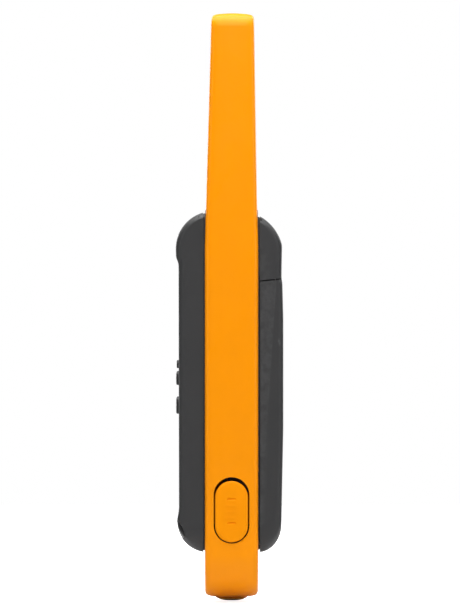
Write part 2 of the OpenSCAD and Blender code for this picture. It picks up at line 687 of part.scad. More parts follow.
module rear_shell() color(DARK) difference() {
    union() {
        difference() {
            rear_dome();
            rear_hollow(shell_wall);
            below_seam(door_gap);
        }
        difference() {
            intersection() {
                rear_hollow(0.5);
                block(-40, 40, rim_y, 30, seam_z + 1.8, seam_z + 3.4);
            }
            below_seam(door_gap);
        }
        intersection() {
            rear_hollow(0.5);
            block(-11.5, 11.5, 11.7, 25, seam_z + 2, 124);
        }
        // A collar that stands behind the door's top edge, and one inside its rim.
        difference() {
            intersection() {
                rear_hollow(shell_wall + 0.35);
                block(-40, 40, rim_y, 30, seam_z - 0.9, seam_z + 2);
            }
            rear_hollow(shell_wall + 1.15);
        }
        difference() {
            rim_ring(shell_wall + 0.8, shell_wall + 1.4, rim_y - 0.3, rim_y + 0.6);
            bay_block(bay_wall + touch, rim_y - 0.2, 20);
            block(-40, 40, 0, 20, seam_z + 2, 140);
        }
        intersection() {
            rim_ring(0.6, 3, band_half - 0.3, rim_y + 0.6);
            prism_x(rear_profile(0.4), -40, 40);
            block(-40, 40, 0, 20, seam_z + 1.8, 140);
        }
        intersection() {
            rim_ring(0.7, 2, band_half - 0.3, rim_y - 0.2);
            prism_x(rear_profile(0.8), -40, 40);
        }
        lip(lip_y, band_half - touch);
        difference() {
            prism_y(rounded(inset(SHELL, 1.5)), 7.4, rim_y - 0.2);
            block(-40, 40, 0, 20, seam_z + 3.4, 140);
            bay_block(0, 0, 20);
        }
        difference() {
            bay_block(bay_wall, bay_floor, rim_y - 0.2);
            bay_block(0, 0, 20);
        }
        for (b = BOSSES) rod_y(b[0], b[1], boss_r, -0.9, rim_y - 0.2);
        block(-24, 24, rim_y - 1, rim_y + shell_wall, seam_z + 1.8, seam_z + 3.4);
    }
    clip_rails();
    block(-6.2, 6.2, 12.5, 25, seam_z - 1, seam_z + 2.4);
    door_tabs(0.3);
    for (b = BOSSES) {
        rod_y(b[0], b[1], screw_r + 0.2, -5, 20);
        rod_y(b[0], b[1], 2.2, 7.3, 20);
    }
}

// Guides on the inside of the door that the latch slides in.
module latch_guides() for (s = [-1, 1]) {
    block(s * 8.2 - 0.7, s * 8.2 + 0.7, 12.5, 15.3, 91, 101.2);
    block(s * 7.8 - 1.1, s * 7.8 + 1.1, 12.4, 13, 91, 101.2);
}

module battery_door() color(DARK) difference() {
    union() {
        intersection() {
            difference() {
                rear_dome();
                rear_hollow(shell_wall);
            }
            below_seam(0);
        }
        latch_guides();
        door_tabs(0);
    }
    block(-5.8, 5.8, 10, 25, 91, seam_z + 2);
}

module battery_latch() color(BLACK) {
    block(-5.4, 5.4, 13.3, rear_face - 0.45, 93.4, seam_z + 1.8);
    for (i = [0:3]) block(-4.4, 4.4, rear_face - 0.5, rear_face - 0.1, 94.3 + i * 1.4, 95 + i * 1.4);
    block(-7.2, 7.2, 13.2, 14.7, 90.8, 101);
}

module door_seal() color(BLACK) difference() {
    bay_block(bay_wall, rim_y - 0.15, rim_y + 0.6);
    bay_block(0.2, 0, 20);
}

// A cell stands button up in the outer places and button down in the middle one.
module cell(i) {
    up = i != 2;
    x = (i - 2) * cell_pitch;
    z = up ? bay_z0 + plate_t + spring_l : bay_z0 + plate_t;
    can_l = cell_l - 1.2;
    can_z = up ? z : z + 1.2;
    color([0.2, 0.35, 0.5]) translate([x, cell_y, can_z]) cylinder(d = cell_d, h = can_l);
    color(STEEL) translate([x, cell_y, up ? z + can_l : z]) cylinder(r = 2.7, h = 1.2);
}
module battery_cell_1() cell(1);
module battery_cell_2() cell(2);
module battery_cell_3() cell(3);

module battery_springs() color(STEEL) for (i = [1:3])
    translate([(i - 2) * cell_pitch, cell_y, i == 2 ? bay_z1 - plate_t - spring_l : bay_z0 + plate_t])
        helix(3.6, 0.35, 0.02, spring_l - 0.02, 4);

module battery_plates() color(STEEL) for (i = [1:3], z = [bay_z0, bay_z1 - plate_t])
    block((i - 2) * cell_pitch - 5, (i - 2) * cell_pitch + 5, 0.1, 12, z, z + plate_t);

module housing_screws() color(STEEL) for (b = BOSSES) {
    rod_y(b[0], b[1], screw_r, -10, 7.4);
    difference() {
        rod_y(b[0], b[1], 2, 7.3, 8.9);
        rod_y(b[0], b[1], 0.8, 8.1, 10);
    }
}

frame_band();
antenna_radome();
antenna_former();
antenna_coil();
antenna_contact();
chin_housing();
torch_bezel();
torch_lens();
torch_reflector();
torch_led();
front_shell();
display_lens();
status_lens();
chin_insert();
speaker_mesh();
speaker_gasket();
speaker_frame();
speaker_magnet();
voice_coil();
speaker_cone();
microphone();
microphone_boot();
front_board();
display_module();
key_domes();
keypad_membrane();
key_power();
key_menu();
key_call();
key_down();
key_lock();
key_up();
main_board();
shield_can();
board_chips();
board_link();
ptt_switch();
torch_switch();
ptt_button();
torch_button();
usb_socket();
usb_tongue();
usb_tether();
usb_cover();
jack_socket();
jack_tether();
jack_cap();
rear_shell();
battery_door();
battery_latch();
door_seal();
battery_cell_1();
battery_cell_2();
battery_cell_3();
battery_springs();
battery_plates();
housing_screws();
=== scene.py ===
# %% [markdown]
# # A two way radio, dressed
#
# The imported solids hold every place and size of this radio: a bright band round its outline, two dark
# half shells clamped against the band, and the parts between them. This script leaves the solids where
# they are and gives them their finish. Forms that show from outside are made again as finer meshes, from
# the same named sizes. The frame is in metres; +Z is up, -Y is the front with the keys.

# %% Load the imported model
import json
import math

import bmesh
import bpy
import numpy as np
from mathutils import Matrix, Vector
from mathutils.bvhtree import BVHTree

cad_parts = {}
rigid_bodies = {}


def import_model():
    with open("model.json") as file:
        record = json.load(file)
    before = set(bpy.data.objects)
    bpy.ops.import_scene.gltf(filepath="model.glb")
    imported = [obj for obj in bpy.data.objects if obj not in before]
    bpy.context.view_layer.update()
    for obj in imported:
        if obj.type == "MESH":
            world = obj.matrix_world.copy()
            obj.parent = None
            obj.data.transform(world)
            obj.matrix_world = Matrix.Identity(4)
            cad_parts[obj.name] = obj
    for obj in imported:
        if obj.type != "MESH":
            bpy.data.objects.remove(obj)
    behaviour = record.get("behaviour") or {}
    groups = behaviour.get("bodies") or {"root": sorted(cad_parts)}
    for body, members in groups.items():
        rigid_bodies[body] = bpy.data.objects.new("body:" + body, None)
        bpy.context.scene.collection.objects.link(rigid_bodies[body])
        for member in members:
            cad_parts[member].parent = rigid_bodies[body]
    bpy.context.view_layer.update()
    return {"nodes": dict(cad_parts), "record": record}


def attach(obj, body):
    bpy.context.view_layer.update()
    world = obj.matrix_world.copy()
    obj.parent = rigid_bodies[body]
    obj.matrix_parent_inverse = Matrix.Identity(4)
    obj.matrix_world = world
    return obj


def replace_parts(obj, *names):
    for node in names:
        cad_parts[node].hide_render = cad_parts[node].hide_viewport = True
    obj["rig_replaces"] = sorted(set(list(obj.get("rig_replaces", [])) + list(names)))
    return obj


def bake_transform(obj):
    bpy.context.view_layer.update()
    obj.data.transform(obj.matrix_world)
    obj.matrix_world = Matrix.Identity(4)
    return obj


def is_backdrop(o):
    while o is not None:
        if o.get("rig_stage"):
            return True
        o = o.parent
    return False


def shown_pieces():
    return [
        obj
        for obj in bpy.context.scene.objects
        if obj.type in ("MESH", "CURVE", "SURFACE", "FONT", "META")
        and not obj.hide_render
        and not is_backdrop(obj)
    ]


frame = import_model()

nodes = frame["nodes"]

# %% [markdown]
# ## Sizes
#
# The sizes are those of the solids, in millimetres. They are written once here, and each form below is
# made from them, so that a mesh and its solid can't drift apart. OUT, REAR_OUT and TOP_OUT lie outside the
# radio, for cutters that have to pass right through.

# %% Sizes in millimetres
MM = 0.001
BODY_W, TOTAL_H, SHOULDER_Z = 58, 190, 129.5
BAND_Z0, BAND_WALL, BAND_HALF = 1.45, 2.4, 8.6
TIP_W, LEAN, CHIN_R, TIP_R = 13.4, 1.8, 14, 4.5
WAIST_Z, WAIST_IN, GENTLE_R = 50, 1.1, 1500
SHOULDER_DROP, FAR_R, NOTCH_X, NOTCH_R = 2.5, 12, 9.5, 7
SHELL_IN, SHELL_R, SHELL_FOOT_R, SHELL_WALL = 2, 8, 7, 1.6
SHELL_Z0, SHELL_Z1, SHELL_FALL = 16, SHOULDER_Z - 3.3, 2
EDGE, DRAFT = 1.8, 0.7
FRONT_BUMP, FRONT_FACE, REAR_FACE = 18, 17.1, 16.7
RIM_Y = BAND_HALF + 0.6
LIP_Y = 6.6
SEAM_Z, SEAM_RISE, DOOR_GAP = 103.4, 0.7, 0.4
BOSSES = [(s * x, z) for x, z in ((21, 101), (14.5, 22)) for s in (-1, 1)]
BOSS_R, SCREW_R = 2.5, 1.1
OUT, REAR_OUT, TOP_OUT = 40, 20, 140
HALF_W = BODY_W / 2
SHELL_HW = HALF_W - SHELL_IN
UPPER_FACE = REAR_FACE - 0.4
print("shell half width:", SHELL_HW, "rim at:", RIM_Y)

# %% [markdown]
# ## Outlines
#
# The radio seen from the front is a list of corners, each with its own radius. A corner turns into an arc,
# and the list can be moved inwards by a depth with every arc keeping its centre. Working from corners
# keeps the number of points the same at every depth, so that rings at different depths join into a skin.
# Long straight runs get points of their own, so that a skin can also narrow along them.

# %% Outlines from corners
def unit(v):
    return v / np.linalg.norm(v)


def corner_arc(before, corner, after, radius, steps):
    a, b = unit(before - corner), unit(after - corner)
    half = math.acos(a @ b) / 2
    centre = corner + unit(a + b) * radius / math.sin(half)
    start = corner + a * radius / math.tan(half) - centre
    end = corner + b * radius / math.tan(half) - centre
    a0, a1 = math.atan2(start[1], start[0]), math.atan2(end[1], end[0])
    sweep = (a1 - a0 + 3 * math.pi) % (2 * math.pi) - math.pi
    turn = a0 + sweep * np.linspace(0, 1, steps + 1)
    return centre + radius * np.column_stack([np.cos(turn), np.sin(turn)])


def outline(corners, arc_steps=8, run_steps=1):
    """Points round a list of corners [x, z, radius]; a straight run gets run_steps parts."""
    places = np.array([c[:2] for c in corners], float)
    arcs = []
    for i, (_, _, radius) in enumerate(corners):
        steps = 3 if radius > 100 else arc_steps
        arcs.append(corner_arc(places[i - 1], places[i], places[(i + 1) % len(corners)], radius, steps))
    points = []
    for i, arc in enumerate(arcs):
        points.extend(arc)
        run_end = arcs[(i + 1) % len(arcs)][0]
        points.extend(arc[-1] + (run_end - arc[-1]) * k / run_steps for k in range(1, run_steps))
    return np.array(points)


def inset(corners, depth):
    """The same corners moved inwards; an inner corner's radius grows, an outer one's shrinks."""
    places = np.array([c[:2] for c in corners], float)
    moved = []
    for i, (_, _, radius) in enumerate(corners):
        before, corner, after = places[i - 1], places[i], places[(i + 1) % len(corners)]
        a, b = unit(before - corner), unit(after - corner)
        u, v = corner - before, after - corner
        side = 1 if u[0] * v[1] - u[1] * v[0] > 0 else -1
        place = corner + side * unit(a + b) * depth / math.sin(math.acos(a @ b) / 2)
        moved.append([place[0], place[1], max(0.05, radius - side * depth)])
    return moved


print("outline helpers ready")

# %% [markdown]
# The small openings need only three outlines: a box with round corners, a pill and a circle. The band and
# the shells have outlines of their own. The band's runs round the chin, up both sides, round the antenna's
# tip and down to the shoulder; the shell's is the same form without the antenna, a little further in.

# %% The radio's outlines
def box_corners(x, z, w, h, r):
    return [[x - w / 2, z - h / 2, r], [x + w / 2, z - h / 2, r],
            [x + w / 2, z + h / 2, r], [x - w / 2, z + h / 2, r]]


def pill(u, v, w, length, steps=20):
    """A pill of width w along u and a length along v, as two half circles."""
    r, reach = w / 2, (length - w) / 2
    turn = np.linspace(0, math.pi, steps + 1)
    top = np.column_stack([u + r * np.cos(turn), v + reach + r * np.sin(turn)])
    foot = np.column_stack([u - r * np.cos(turn), v - reach - r * np.sin(turn)])
    return np.vstack([top, foot])


def circle(u, v, r, steps=48):
    turn = np.linspace(0, 2 * math.pi, steps, endpoint=False)
    return np.column_stack([u + r * np.cos(turn), v + r * np.sin(turn)])


BAND = [
    [-HALF_W + WAIST_IN, BAND_Z0, CHIN_R], [HALF_W - WAIST_IN, BAND_Z0, CHIN_R], [HALF_W, WAIST_Z, GENTLE_R],
    [HALF_W, SHOULDER_Z - 7.5, GENTLE_R], [HALF_W - LEAN, TOTAL_H, TIP_R],
    [HALF_W - LEAN - TIP_W, TOTAL_H, TIP_R], [NOTCH_X, SHOULDER_Z, NOTCH_R],
    [-HALF_W, SHOULDER_Z - SHOULDER_DROP, FAR_R], [-HALF_W, WAIST_Z, GENTLE_R]]
SHELL_FOOT = SHELL_HW - WAIST_IN * (WAIST_Z - SHELL_Z0) / (WAIST_Z - BAND_Z0)
SHELL = [
    [-SHELL_FOOT, SHELL_Z0, SHELL_FOOT_R], [SHELL_FOOT, SHELL_Z0, SHELL_FOOT_R],
    [SHELL_HW, WAIST_Z, GENTLE_R], [SHELL_HW, SHELL_Z1, 2.5],
    [-SHELL_HW, SHELL_Z1 - SHELL_FALL, 2 * SHELL_R], [-SHELL_HW, WAIST_Z, GENTLE_R]]
print("points round the band:", len(outline(BAND, 20, 6)))

# %% [markdown]
# ## Making and cutting meshes
#
# Nearly every form on this radio is a row of rings with a skin over them: the band's rings run round it,
# a key's rings stand on each other, and a shell's rings stand side by side. Curves or subdivided boxes could
# give such forms too, but rings hold every size exactly. One function makes that skin.

# %% Skins over rings
def new_piece(name, points, faces):
    mesh = bpy.data.meshes.new(name)
    mesh.from_pydata([tuple(p) for p in np.asarray(points, float) * MM], [], faces)
    mesh.validate()
    piece = bpy.data.objects.new(name, mesh)
    bpy.context.scene.collection.objects.link(piece)
    work = bmesh.new()
    work.from_mesh(mesh)
    bmesh.ops.recalc_face_normals(work, faces=work.faces)
    work.to_mesh(mesh)
    work.free()
    return piece


def skin(name, rings, round_again=False):
    """A skin over rings of points; it closes on its first ring, or ends in two caps."""
    n, count = len(rings[0]), len(rings)
    last = count if round_again else count - 1
    faces = [[j * n + i, j * n + (i + 1) % n, (j + 1) % count * n + (i + 1) % n, (j + 1) % count * n + i]
             for j in range(last) for i in range(n)]
    if not round_again:
        faces += [list(range(n))[::-1], [(count - 1) * n + i for i in range(n)]]
    return new_piece(name, np.vstack(rings), faces)


def place(ring, axis, depth):
    """A flat ring stood across an axis at a depth, which is a number or one for each point."""
    u, v = ring[:, 0], ring[:, 1]
    w = np.broadcast_to(depth, u.shape)
    return {"x": np.column_stack([w, u, v]), "y": np.column_stack([u, w, v]),
            "z": np.column_stack([u, v, w])}[axis]


def stack(name, axis, layers):
    """A solid from (ring, depth) layers along one axis."""
    return skin(name, [place(ring, axis, depth) for ring, depth in layers])


def block(name, x0, x1, y0, y1, z0, z1):
    ring = np.array([[x0, y0], [x1, y0], [x1, y1], [x0, y1]], float)
    return stack(name, "z", [(ring, z0), (ring, z1)])


print("skin helpers ready")

# %% [markdown]
# Openings are cut with a boolean, as a tool would cut them. Each cutter flares where it meets the surface,
# so that the opening gets its small broken edge in the same cut, and no bevel has to find it afterwards.
# Every cut is settled into the mesh at once, so that the next one starts from a plain mesh.

# %% Cutting and joining
def settle(piece):
    """Turns what the modifiers make into the piece's own mesh."""
    graph = bpy.context.evaluated_depsgraph_get()
    made = bpy.data.meshes.new_from_object(piece.evaluated_get(graph))
    old = piece.data
    piece.modifiers.clear()
    piece.data = made
    bpy.data.meshes.remove(old)
    made.name = piece.name
    return piece


def join(name, pieces):
    """One piece from several that don't touch."""
    work = bmesh.new()
    for p in pieces:
        work.from_mesh(p.data)
    mesh = bpy.data.meshes.new(name)
    work.to_mesh(mesh)
    work.free()
    joined = bpy.data.objects.new(name, mesh)
    bpy.context.scene.collection.objects.link(joined)
    discard(*pieces)
    return joined


def discard(*pieces):
    for p in pieces:
        mesh = p.data
        bpy.data.objects.remove(p)
        if mesh.users == 0:
            bpy.data.meshes.remove(mesh)


def combine(piece, operation, *others, keep=False):
    """Boolean of a piece with others, one after the other."""
    for other in others:
        cut = piece.modifiers.new("cut", "BOOLEAN")
        cut.operation, cut.object, cut.solver = operation, other, "MANIFOLD"
        settle(piece)
        if not keep:
            discard(other)
    return piece


def cut_flat(piece, point, normal):
    """Cuts a piece with a plane, keeps what is behind it and closes the cut."""
    work = bmesh.new()
    work.from_mesh(piece.data)
    cut = bmesh.ops.bisect_plane(work, geom=work.verts[:] + work.edges[:] + work.faces[:],
                                 plane_co=Vector(point) * MM, plane_no=Vector(normal), clear_outer=True)
    rim = [e for e in cut["geom_cut"] if isinstance(e, bmesh.types.BMEdge)]
    bmesh.ops.contextual_create(work, geom=rim)
    bmesh.ops.recalc_face_normals(work, faces=work.faces)
    work.to_mesh(piece.data)
    work.free()
    return piece


print("cutting helpers ready")

# %% [markdown]
# A moulded part is smooth except along its real edges. Smooth shading that breaks by angle shows those
# edges, and weighted normals keep a large face flat beside a small fillet. A plain solid gets its broken
# edges from a bevel modifier, because its own mesh has to stay as it is.

# %% Shading and broken edges
def smooth(piece, angle=28, flatten=True):
    """Smooth shading that breaks at edges sharper than the angle; large flat faces stay flat."""
    mesh = piece.data
    mesh.polygons.foreach_set("use_smooth", [True] * len(mesh.polygons))
    mesh.set_sharp_from_angle(angle=math.radians(angle))
    return keep_flat(piece) if flatten else piece


def keep_flat(piece):
    piece.modifiers.new("flat faces stay flat", "WEIGHTED_NORMAL").keep_sharp = True
    return piece


def soften(piece, width, segments=2, angle=35):
    """Breaks the sharp edges of a plain solid by a width in millimetres."""
    bevel = piece.modifiers.new("broken edges", "BEVEL")
    bevel.width, bevel.segments = width * MM, segments
    bevel.limit_method, bevel.angle_limit = "ANGLE", math.radians(angle)
    bevel.miter_outer = "MITER_ARC"
    return piece


print("shading helpers ready")

# %% [markdown]
# ## The bright band
#
# On the real radio the band is one moulding that runs round the body and up round the antenna. Across its
# width it is a little crowned beside a flat middle, with soft edges, and it narrows up the antenna. A swept
# curve with a bevel profile would do, but it can't narrow to two different front and rear widths. So its
# skin is made of rings, one for each place in the cross-section, and the two side reaches are read from the
# height of each point.

# %% The band's skin
def band_front(z):
    return np.interp(z, [0, 121, 128, 187, 250], [BAND_HALF, BAND_HALF, BAND_HALF - 0.35, 6.6, 6.6])


def band_rear(z):
    return np.interp(z, [0, 122, 128, 187, 250], [BAND_HALF, BAND_HALF, BAND_HALF - 0.35, 7.3, 7.3])


def spline(controls, steps):
    """A smooth curve through control points, as Catmull-Rom pieces."""
    c = np.array([controls[0], *controls, controls[-1]], float)
    out = []
    for a, b, d, e in zip(c, c[1:], c[2:], c[3:]):
        for t in np.linspace(0, 1, steps, endpoint=False):
            out.append(0.5 * (2 * b + (d - a) * t + (2 * a - 5 * b + 4 * d - e) * t * t
                              + (3 * b - a - 3 * d + e) * t ** 3))
    return np.array(out + [c[-1]])


CROWN_FROM, CROWN_FLAT = 2.4, 6
edge_curve = spline([[0, 1.9], [0.3, 1.1], [0.9, 0.6], [CROWN_FROM, 0.25], [CROWN_FLAT, 0]], 4)
half_section = [(0, BAND_WALL), *edge_curve]
section = [(-1, *s) for s in half_section] + [(1, *s) for s in half_section[::-1]]


def band_ring(side, inside, depth):
    """One ring of the band: its side, how far in from that edge, and its depth."""
    ring = outline(inset(BAND, depth) if depth > 0 else BAND, 20, 6)
    reach = band_front(ring[:, 1]) if side < 0 else band_rear(ring[:, 1])
    return place(ring, "y", side * (reach - inside))


band = skin("band", [band_ring(*s) for s in section], round_again=True)
print("band faces:", len(band.data.polygons))

# %% [markdown]
# The band has six openings: the charging port, the two side buttons, the torch, the headset jack and the
# slot of the jack's strap. The long ones are pills that leave a broken edge about 0.3 mm wide.

# %% The band's openings
USB_Z, USB_W, USB_L = 29.7, 11.5, 21.4
PTT_Z, PTT_W, PTT_L = 91, 9.3, 28.5
LAMP_Z, LAMP_W, LAMP_L = 65, 6.8, 10.5
JACK_X, JACK_Y, CAP_R, CAP_SEAT_Z = -10, 1, 4.1, 127
BROKEN = 0.28


def pill_cutter(name, z, w, length, side):
    """A pill through the band's side that flares at the skin, in steps of (growth, place)."""
    face = HALF_W - 0.12
    steps = [(0, 20), (0, face - BROKEN), (0.1, face - 0.1), (0.3, face + 0.05), (1.3, face + 1)]
    return stack(name, "x", [(pill(0, z, w + 2 * g, length + 2 * g), side * x) for g, x in steps])


def bore(name, x, y, steps):
    """A round cutter along Z, in steps of (radius, height)."""
    return stack(name, "z", [(circle(x, y, r), z) for r, z in steps])


band_cutters = [
    pill_cutter("port cutter", USB_Z, USB_W, USB_L, 1),
    pill_cutter("talk cutter", PTT_Z, PTT_W, PTT_L, -1),
    pill_cutter("lamp cutter", LAMP_Z, LAMP_W, LAMP_L, -1),
    bore("torch cutter", 0, 0, [(6.1, 0.5), (6.0, 1.3), (5.6, 1.9), (5.6, 8)]),
    bore("cap cutter", JACK_X, JACK_Y, [
        (3.3, 118), (3.3, CAP_SEAT_Z), (CAP_R + 0.3, CAP_SEAT_Z), (CAP_R + 0.3, 128.1),
        (CAP_R + 0.8, 128.6), (CAP_R + 0.8, 133)]),
    block("strap cutter", JACK_X - 7.3, JACK_X - 3, JACK_Y - 1.7, JACK_Y + 1.7, CAP_SEAT_Z - 0.1, 132)]
combine(band, "DIFFERENCE", *band_cutters)
smooth(band)
print("band with its openings:", len(band.data.polygons))

# %% [markdown]
# ## The two dark shells
#
# Each half shell is one moulding: a side wall, a worked edge, and a face that runs over the top in a wide
# arc. Seen from the side, its edge is a crisp chamfer at the top, which catches the light as a pale strip,
# and turns into a soft fillet along the face. So a shell is lofted along X: each ring is the side view,
# drawn in by the chamfer and the fillet near the sides, and pulled down or up where the corners are round.
# The side view is blended a little along its length, as a mould maker blends a surface.

# %% Side views
FRONT_TOP, FRONT_FOOT, FRONT_FOOT_R = (-6, 114.2), (-7.6, 26), 10
REAR_TOP, REAR_TOP_R = (2.1, 111.73), 14.65
PROFILE_POINTS = 150
BLEND = 0.55


def fillet(r, from_side):
    return 0.0 if from_side >= r else r - math.sqrt(r * r - (r - from_side) ** 2)


def arc(centre, radius, start, end, flatter=0.0, steps=30):
    """An arc whose height is less than its radius by `flatter`."""
    turn = np.radians(np.linspace(start, end, steps + 1))
    radius = np.broadcast_to(radius, turn.shape)
    return np.column_stack([centre[0] + radius * np.cos(turn), centre[1] + (radius - flatter) * np.sin(turn)])


def blended(points):
    """The same line with its kinks blended over about BLEND, as evenly spaced points."""
    points = np.array(points, float)
    along = np.concatenate([[0], np.cumsum(np.linalg.norm(np.diff(points, axis=0), axis=1))])
    step = 0.2
    fine = np.arange(0, along[-1], step)
    dense = np.column_stack([np.interp(fine, along, points[:, k]) for k in (0, 1)])
    reach = int(3 * BLEND / step)
    weights = np.exp(-0.5 * (np.arange(-reach, reach + 1) * step / BLEND) ** 2)
    weights /= weights.sum()
    padded = np.pad(dense, ((reach, reach), (0, 0)), mode="reflect", reflect_type="odd")
    eased = np.column_stack([np.convolve(padded[:, k], weights, "valid") for k in (0, 1)])
    pick = np.linspace(0, len(eased) - 1, PROFILE_POINTS)
    return np.column_stack([np.interp(pick, np.arange(len(eased)), eased[:, k]) for k in (0, 1)])


def front_profile(depth, flat=0.0, round_in=0.0, down=0.0, up=0.0):
    turn = np.linspace(0, 1, 31)
    drawn_in = FRONT_BUMP + FRONT_TOP[0] - depth - (flat * (1 - turn) + round_in * turn)
    brow = arc(FRONT_TOP, drawn_in, 90, 180, down)
    q = depth + round_in
    face = [[-FRONT_BUMP + q + 0.05, 111.2], [-FRONT_FACE + q, 109.4],
            [-FRONT_FACE + 0.15 + q, 30], [FRONT_FOOT[0] - FRONT_FOOT_R + 0.08 + q, 27]]
    foot = arc(FRONT_FOOT, FRONT_FOOT_R - q, 180, 270, up)
    return blended([[0, SHELL_Z1 - depth - flat - down], *brow, *face, *foot, [0, SHELL_Z0 + q + up]])


def rear_profile(depth, flat=0.0, round_in=0.0, down=0.0, up=0.0):
    q = depth + round_in
    turn = np.radians(np.linspace(-90, 0, 31))
    foot = np.column_stack([BAND_HALF + (REAR_FACE - 0.6 - BAND_HALF - q) * np.cos(turn),
                            24.9 + (24.9 - SHELL_Z0 - q) * np.sin(turn) + up])
    face = [[REAR_FACE - q, 56], [REAR_FACE - q, 92], [REAR_FACE - 0.3 - q, SEAM_Z + 0.3],
            [UPPER_FACE - 0.2 - q, SEAM_Z + 0.7]]
    turn = np.linspace(0, 1, 31)
    drawn_in = REAR_TOP_R - depth - (flat * turn + round_in * (1 - turn))
    brow = arc(REAR_TOP, drawn_in, 14.2, 64) - [0, down]
    return blended([[0, SHELL_Z0 + q + up], *foot, *face, *brow, [0, 125.2 - depth - flat - down]])


print("front side view from", front_profile(0)[0], "to", front_profile(0)[-1])

# %% [markdown]
# The loft's rings stand close together where the edge turns and wider over the face, which keeps the fillet
# round without spending faces on the flat. The same loft, drawn at a depth, is the room inside the shell,
# and later gives every rib and groove that has to follow the skin.

# %% Shells as lofts along X
def stations():
    """Places from the side wall inwards: close together where the edge turns, wider over the face."""
    turn = np.radians(np.linspace(0, 90, 10))
    places = {0.0}
    for r in (EDGE, SHELL_FOOT_R, SHELL_R):
        places |= {round(float(p), 2) for p in r * (1 - np.cos(turn))}
    places |= {round(EDGE + d, 2) for d in (-0.25, -0.12, 0.12, 0.25)}
    kept = []
    for p in sorted(places):
        if not kept or p - kept[-1] >= 0.07:
            kept.append(p)
    return kept + [11.5, 13.6, 16.4, 19, 21, 24]


def chamfer(from_side):
    """The chamfer's depth, with its inner edge eased over half a millimetre."""
    ease = 0.25
    left = EDGE - from_side
    if left >= ease:
        return left
    return 0.0 if left <= -ease else (left + ease) ** 2 / (4 * ease)


def shell_ring(profile, side, from_side, depth=0.0, more_chamfer=0.0):
    x = side * (SHELL_HW - depth - from_side)
    top = SHELL_FALL * (SHELL_HW - x) / (2 * SHELL_HW)
    down = top + (fillet(SHELL_R, from_side) if side < 0 else 0)
    up = fillet(SHELL_FOOT_R, from_side)
    ring = profile(depth, chamfer(from_side) + more_chamfer, fillet(EDGE, from_side), down, up)
    lean = side * DRAFT * (np.abs(ring[:, 0]) - RIM_Y) / (FRONT_FACE - RIM_Y)
    return np.column_stack([x - lean, ring])


def shell_loft(name, profile, depth=0.0):
    places = stations()
    rings = [shell_ring(profile, 1, 0.0, depth, 0.2)]
    rings += [shell_ring(profile, 1, p, depth) for p in [0.05, *places[1:]]]
    rings += [shell_ring(profile, -1, p, depth) for p in [0.05, *places[1:]][::-1]]
    rings += [shell_ring(profile, -1, 0.0, depth, 0.2)]
    return skin(name, rings)


def half_shell(name, profile, side):
    """The loft cut off at the rim and hollowed to its wall."""
    outer = cut_flat(shell_loft(name, profile), (0, side * RIM_Y, 0), (0, -side, 0))
    room = shell_loft(name + " inside", profile, SHELL_WALL)
    return combine(outer, "DIFFERENCE", cut_flat(room, (0, side * (RIM_Y - 1), 0), (0, -side, 0)))


front = half_shell("front", front_profile, -1)
rear = half_shell("rear", rear_profile, 1)
print("shell faces:", len(front.data.polygons), len(rear.data.polygons))

# %% [markdown]
# ## Lips inside the band
#
# Each shell has a lip that drops inside the band and closes the joint: up to the band's own wall at the
# shoulder, and just below the antenna's foot beside it. A narrower neck joins the lip to the shell behind
# the dark joint line.

# %% Lips and necks
LIP_RISE_Z, TOUCH, RADOME_X = 111, 0.1, 3.9


def shell_plate(name, depth, y0, y1, drop=0.0):
    """A plate with the shell's outline at a depth; drop lowers its top corners."""
    corners = inset(SHELL, depth) if depth else SHELL
    ring = outline([[x, z - (drop if z > LIP_RISE_Z else 0), r] for x, z, r in corners], 10)
    return stack(name, "y", [(ring, y0), (ring, y1)])


def rim_ring(name, outer, inner, y0, y1):
    """A frame round the rim, between two depths from the shell's outline."""
    room = shell_plate(name + " room", inner, y0 - 1, y1 + 1)
    return combine(shell_plate(name, outer, y0, y1), "DIFFERENCE", room)


def locating_lip(name, y0, y1):
    lip = shell_plate(name, 0.7, y0, y1)
    far = block("far top", -OUT, RADOME_X, y0, y1, LIP_RISE_Z, SHOULDER_Z)
    near_room = block("near room", 0, OUT, y0 - 1, y1 + 1, LIP_RISE_Z, SHOULDER_Z)
    near = combine(shell_plate("near top", 0, y0, y1), "INTERSECT", near_room)
    combine(lip, "UNION", far, near)
    wall = outline(inset(BAND, BAND_WALL + TOUCH), 20, 6)
    combine(lip, "INTERSECT", stack("inside the band", "y", [(wall, y0 - 1), (wall, y1 + 1)]))
    return combine(lip, "DIFFERENCE", shell_plate("lip room", 2, y0 - 1, y1 + 1, 1.2))


def side_bar(name, points, reach=OUT):
    """A bar along X whose cross-section is a side view: points of (y, z)."""
    ring = np.array(points, float)
    return stack(name, "x", [(ring, -reach), (ring, reach)])


def rod(name, x, z, r, y0, y1, steps=32):
    """A round bar along Y."""
    return stack(name, "y", [(circle(x, z, r, steps), y0), (circle(x, z, r, steps), y1)])


front_neck = rim_ring("front neck", 0.6, 2, -RIM_Y - SHELL_WALL, -BAND_HALF + 0.3)
combine(front_neck, "INTERSECT", side_bar("front side view", front_profile(0.4)))
front_posts = join("front posts", [rod(f"post at {x}, {z}", x, z, BOSS_R, -25, -1.4) for x, z in BOSSES])
combine(front_posts, "INTERSECT", shell_loft("post room", front_profile, 0.6))
combine(front, "UNION", front_neck, locating_lip("front lip", -BAND_HALF + TOUCH, -LIP_Y), front_posts)
print("front with its lip:", len(front.data.polygons))

# %% [markdown]
# ## Openings in the front
#
# The front carries a display window, six keys, a status light, a grille of fifteen slots, and a pinhole for
# the microphone. A small bar is raised between the display and the keys. On the real one all of these come
# out of the mould; here they are cutters that stand through the face and flare at its skin.

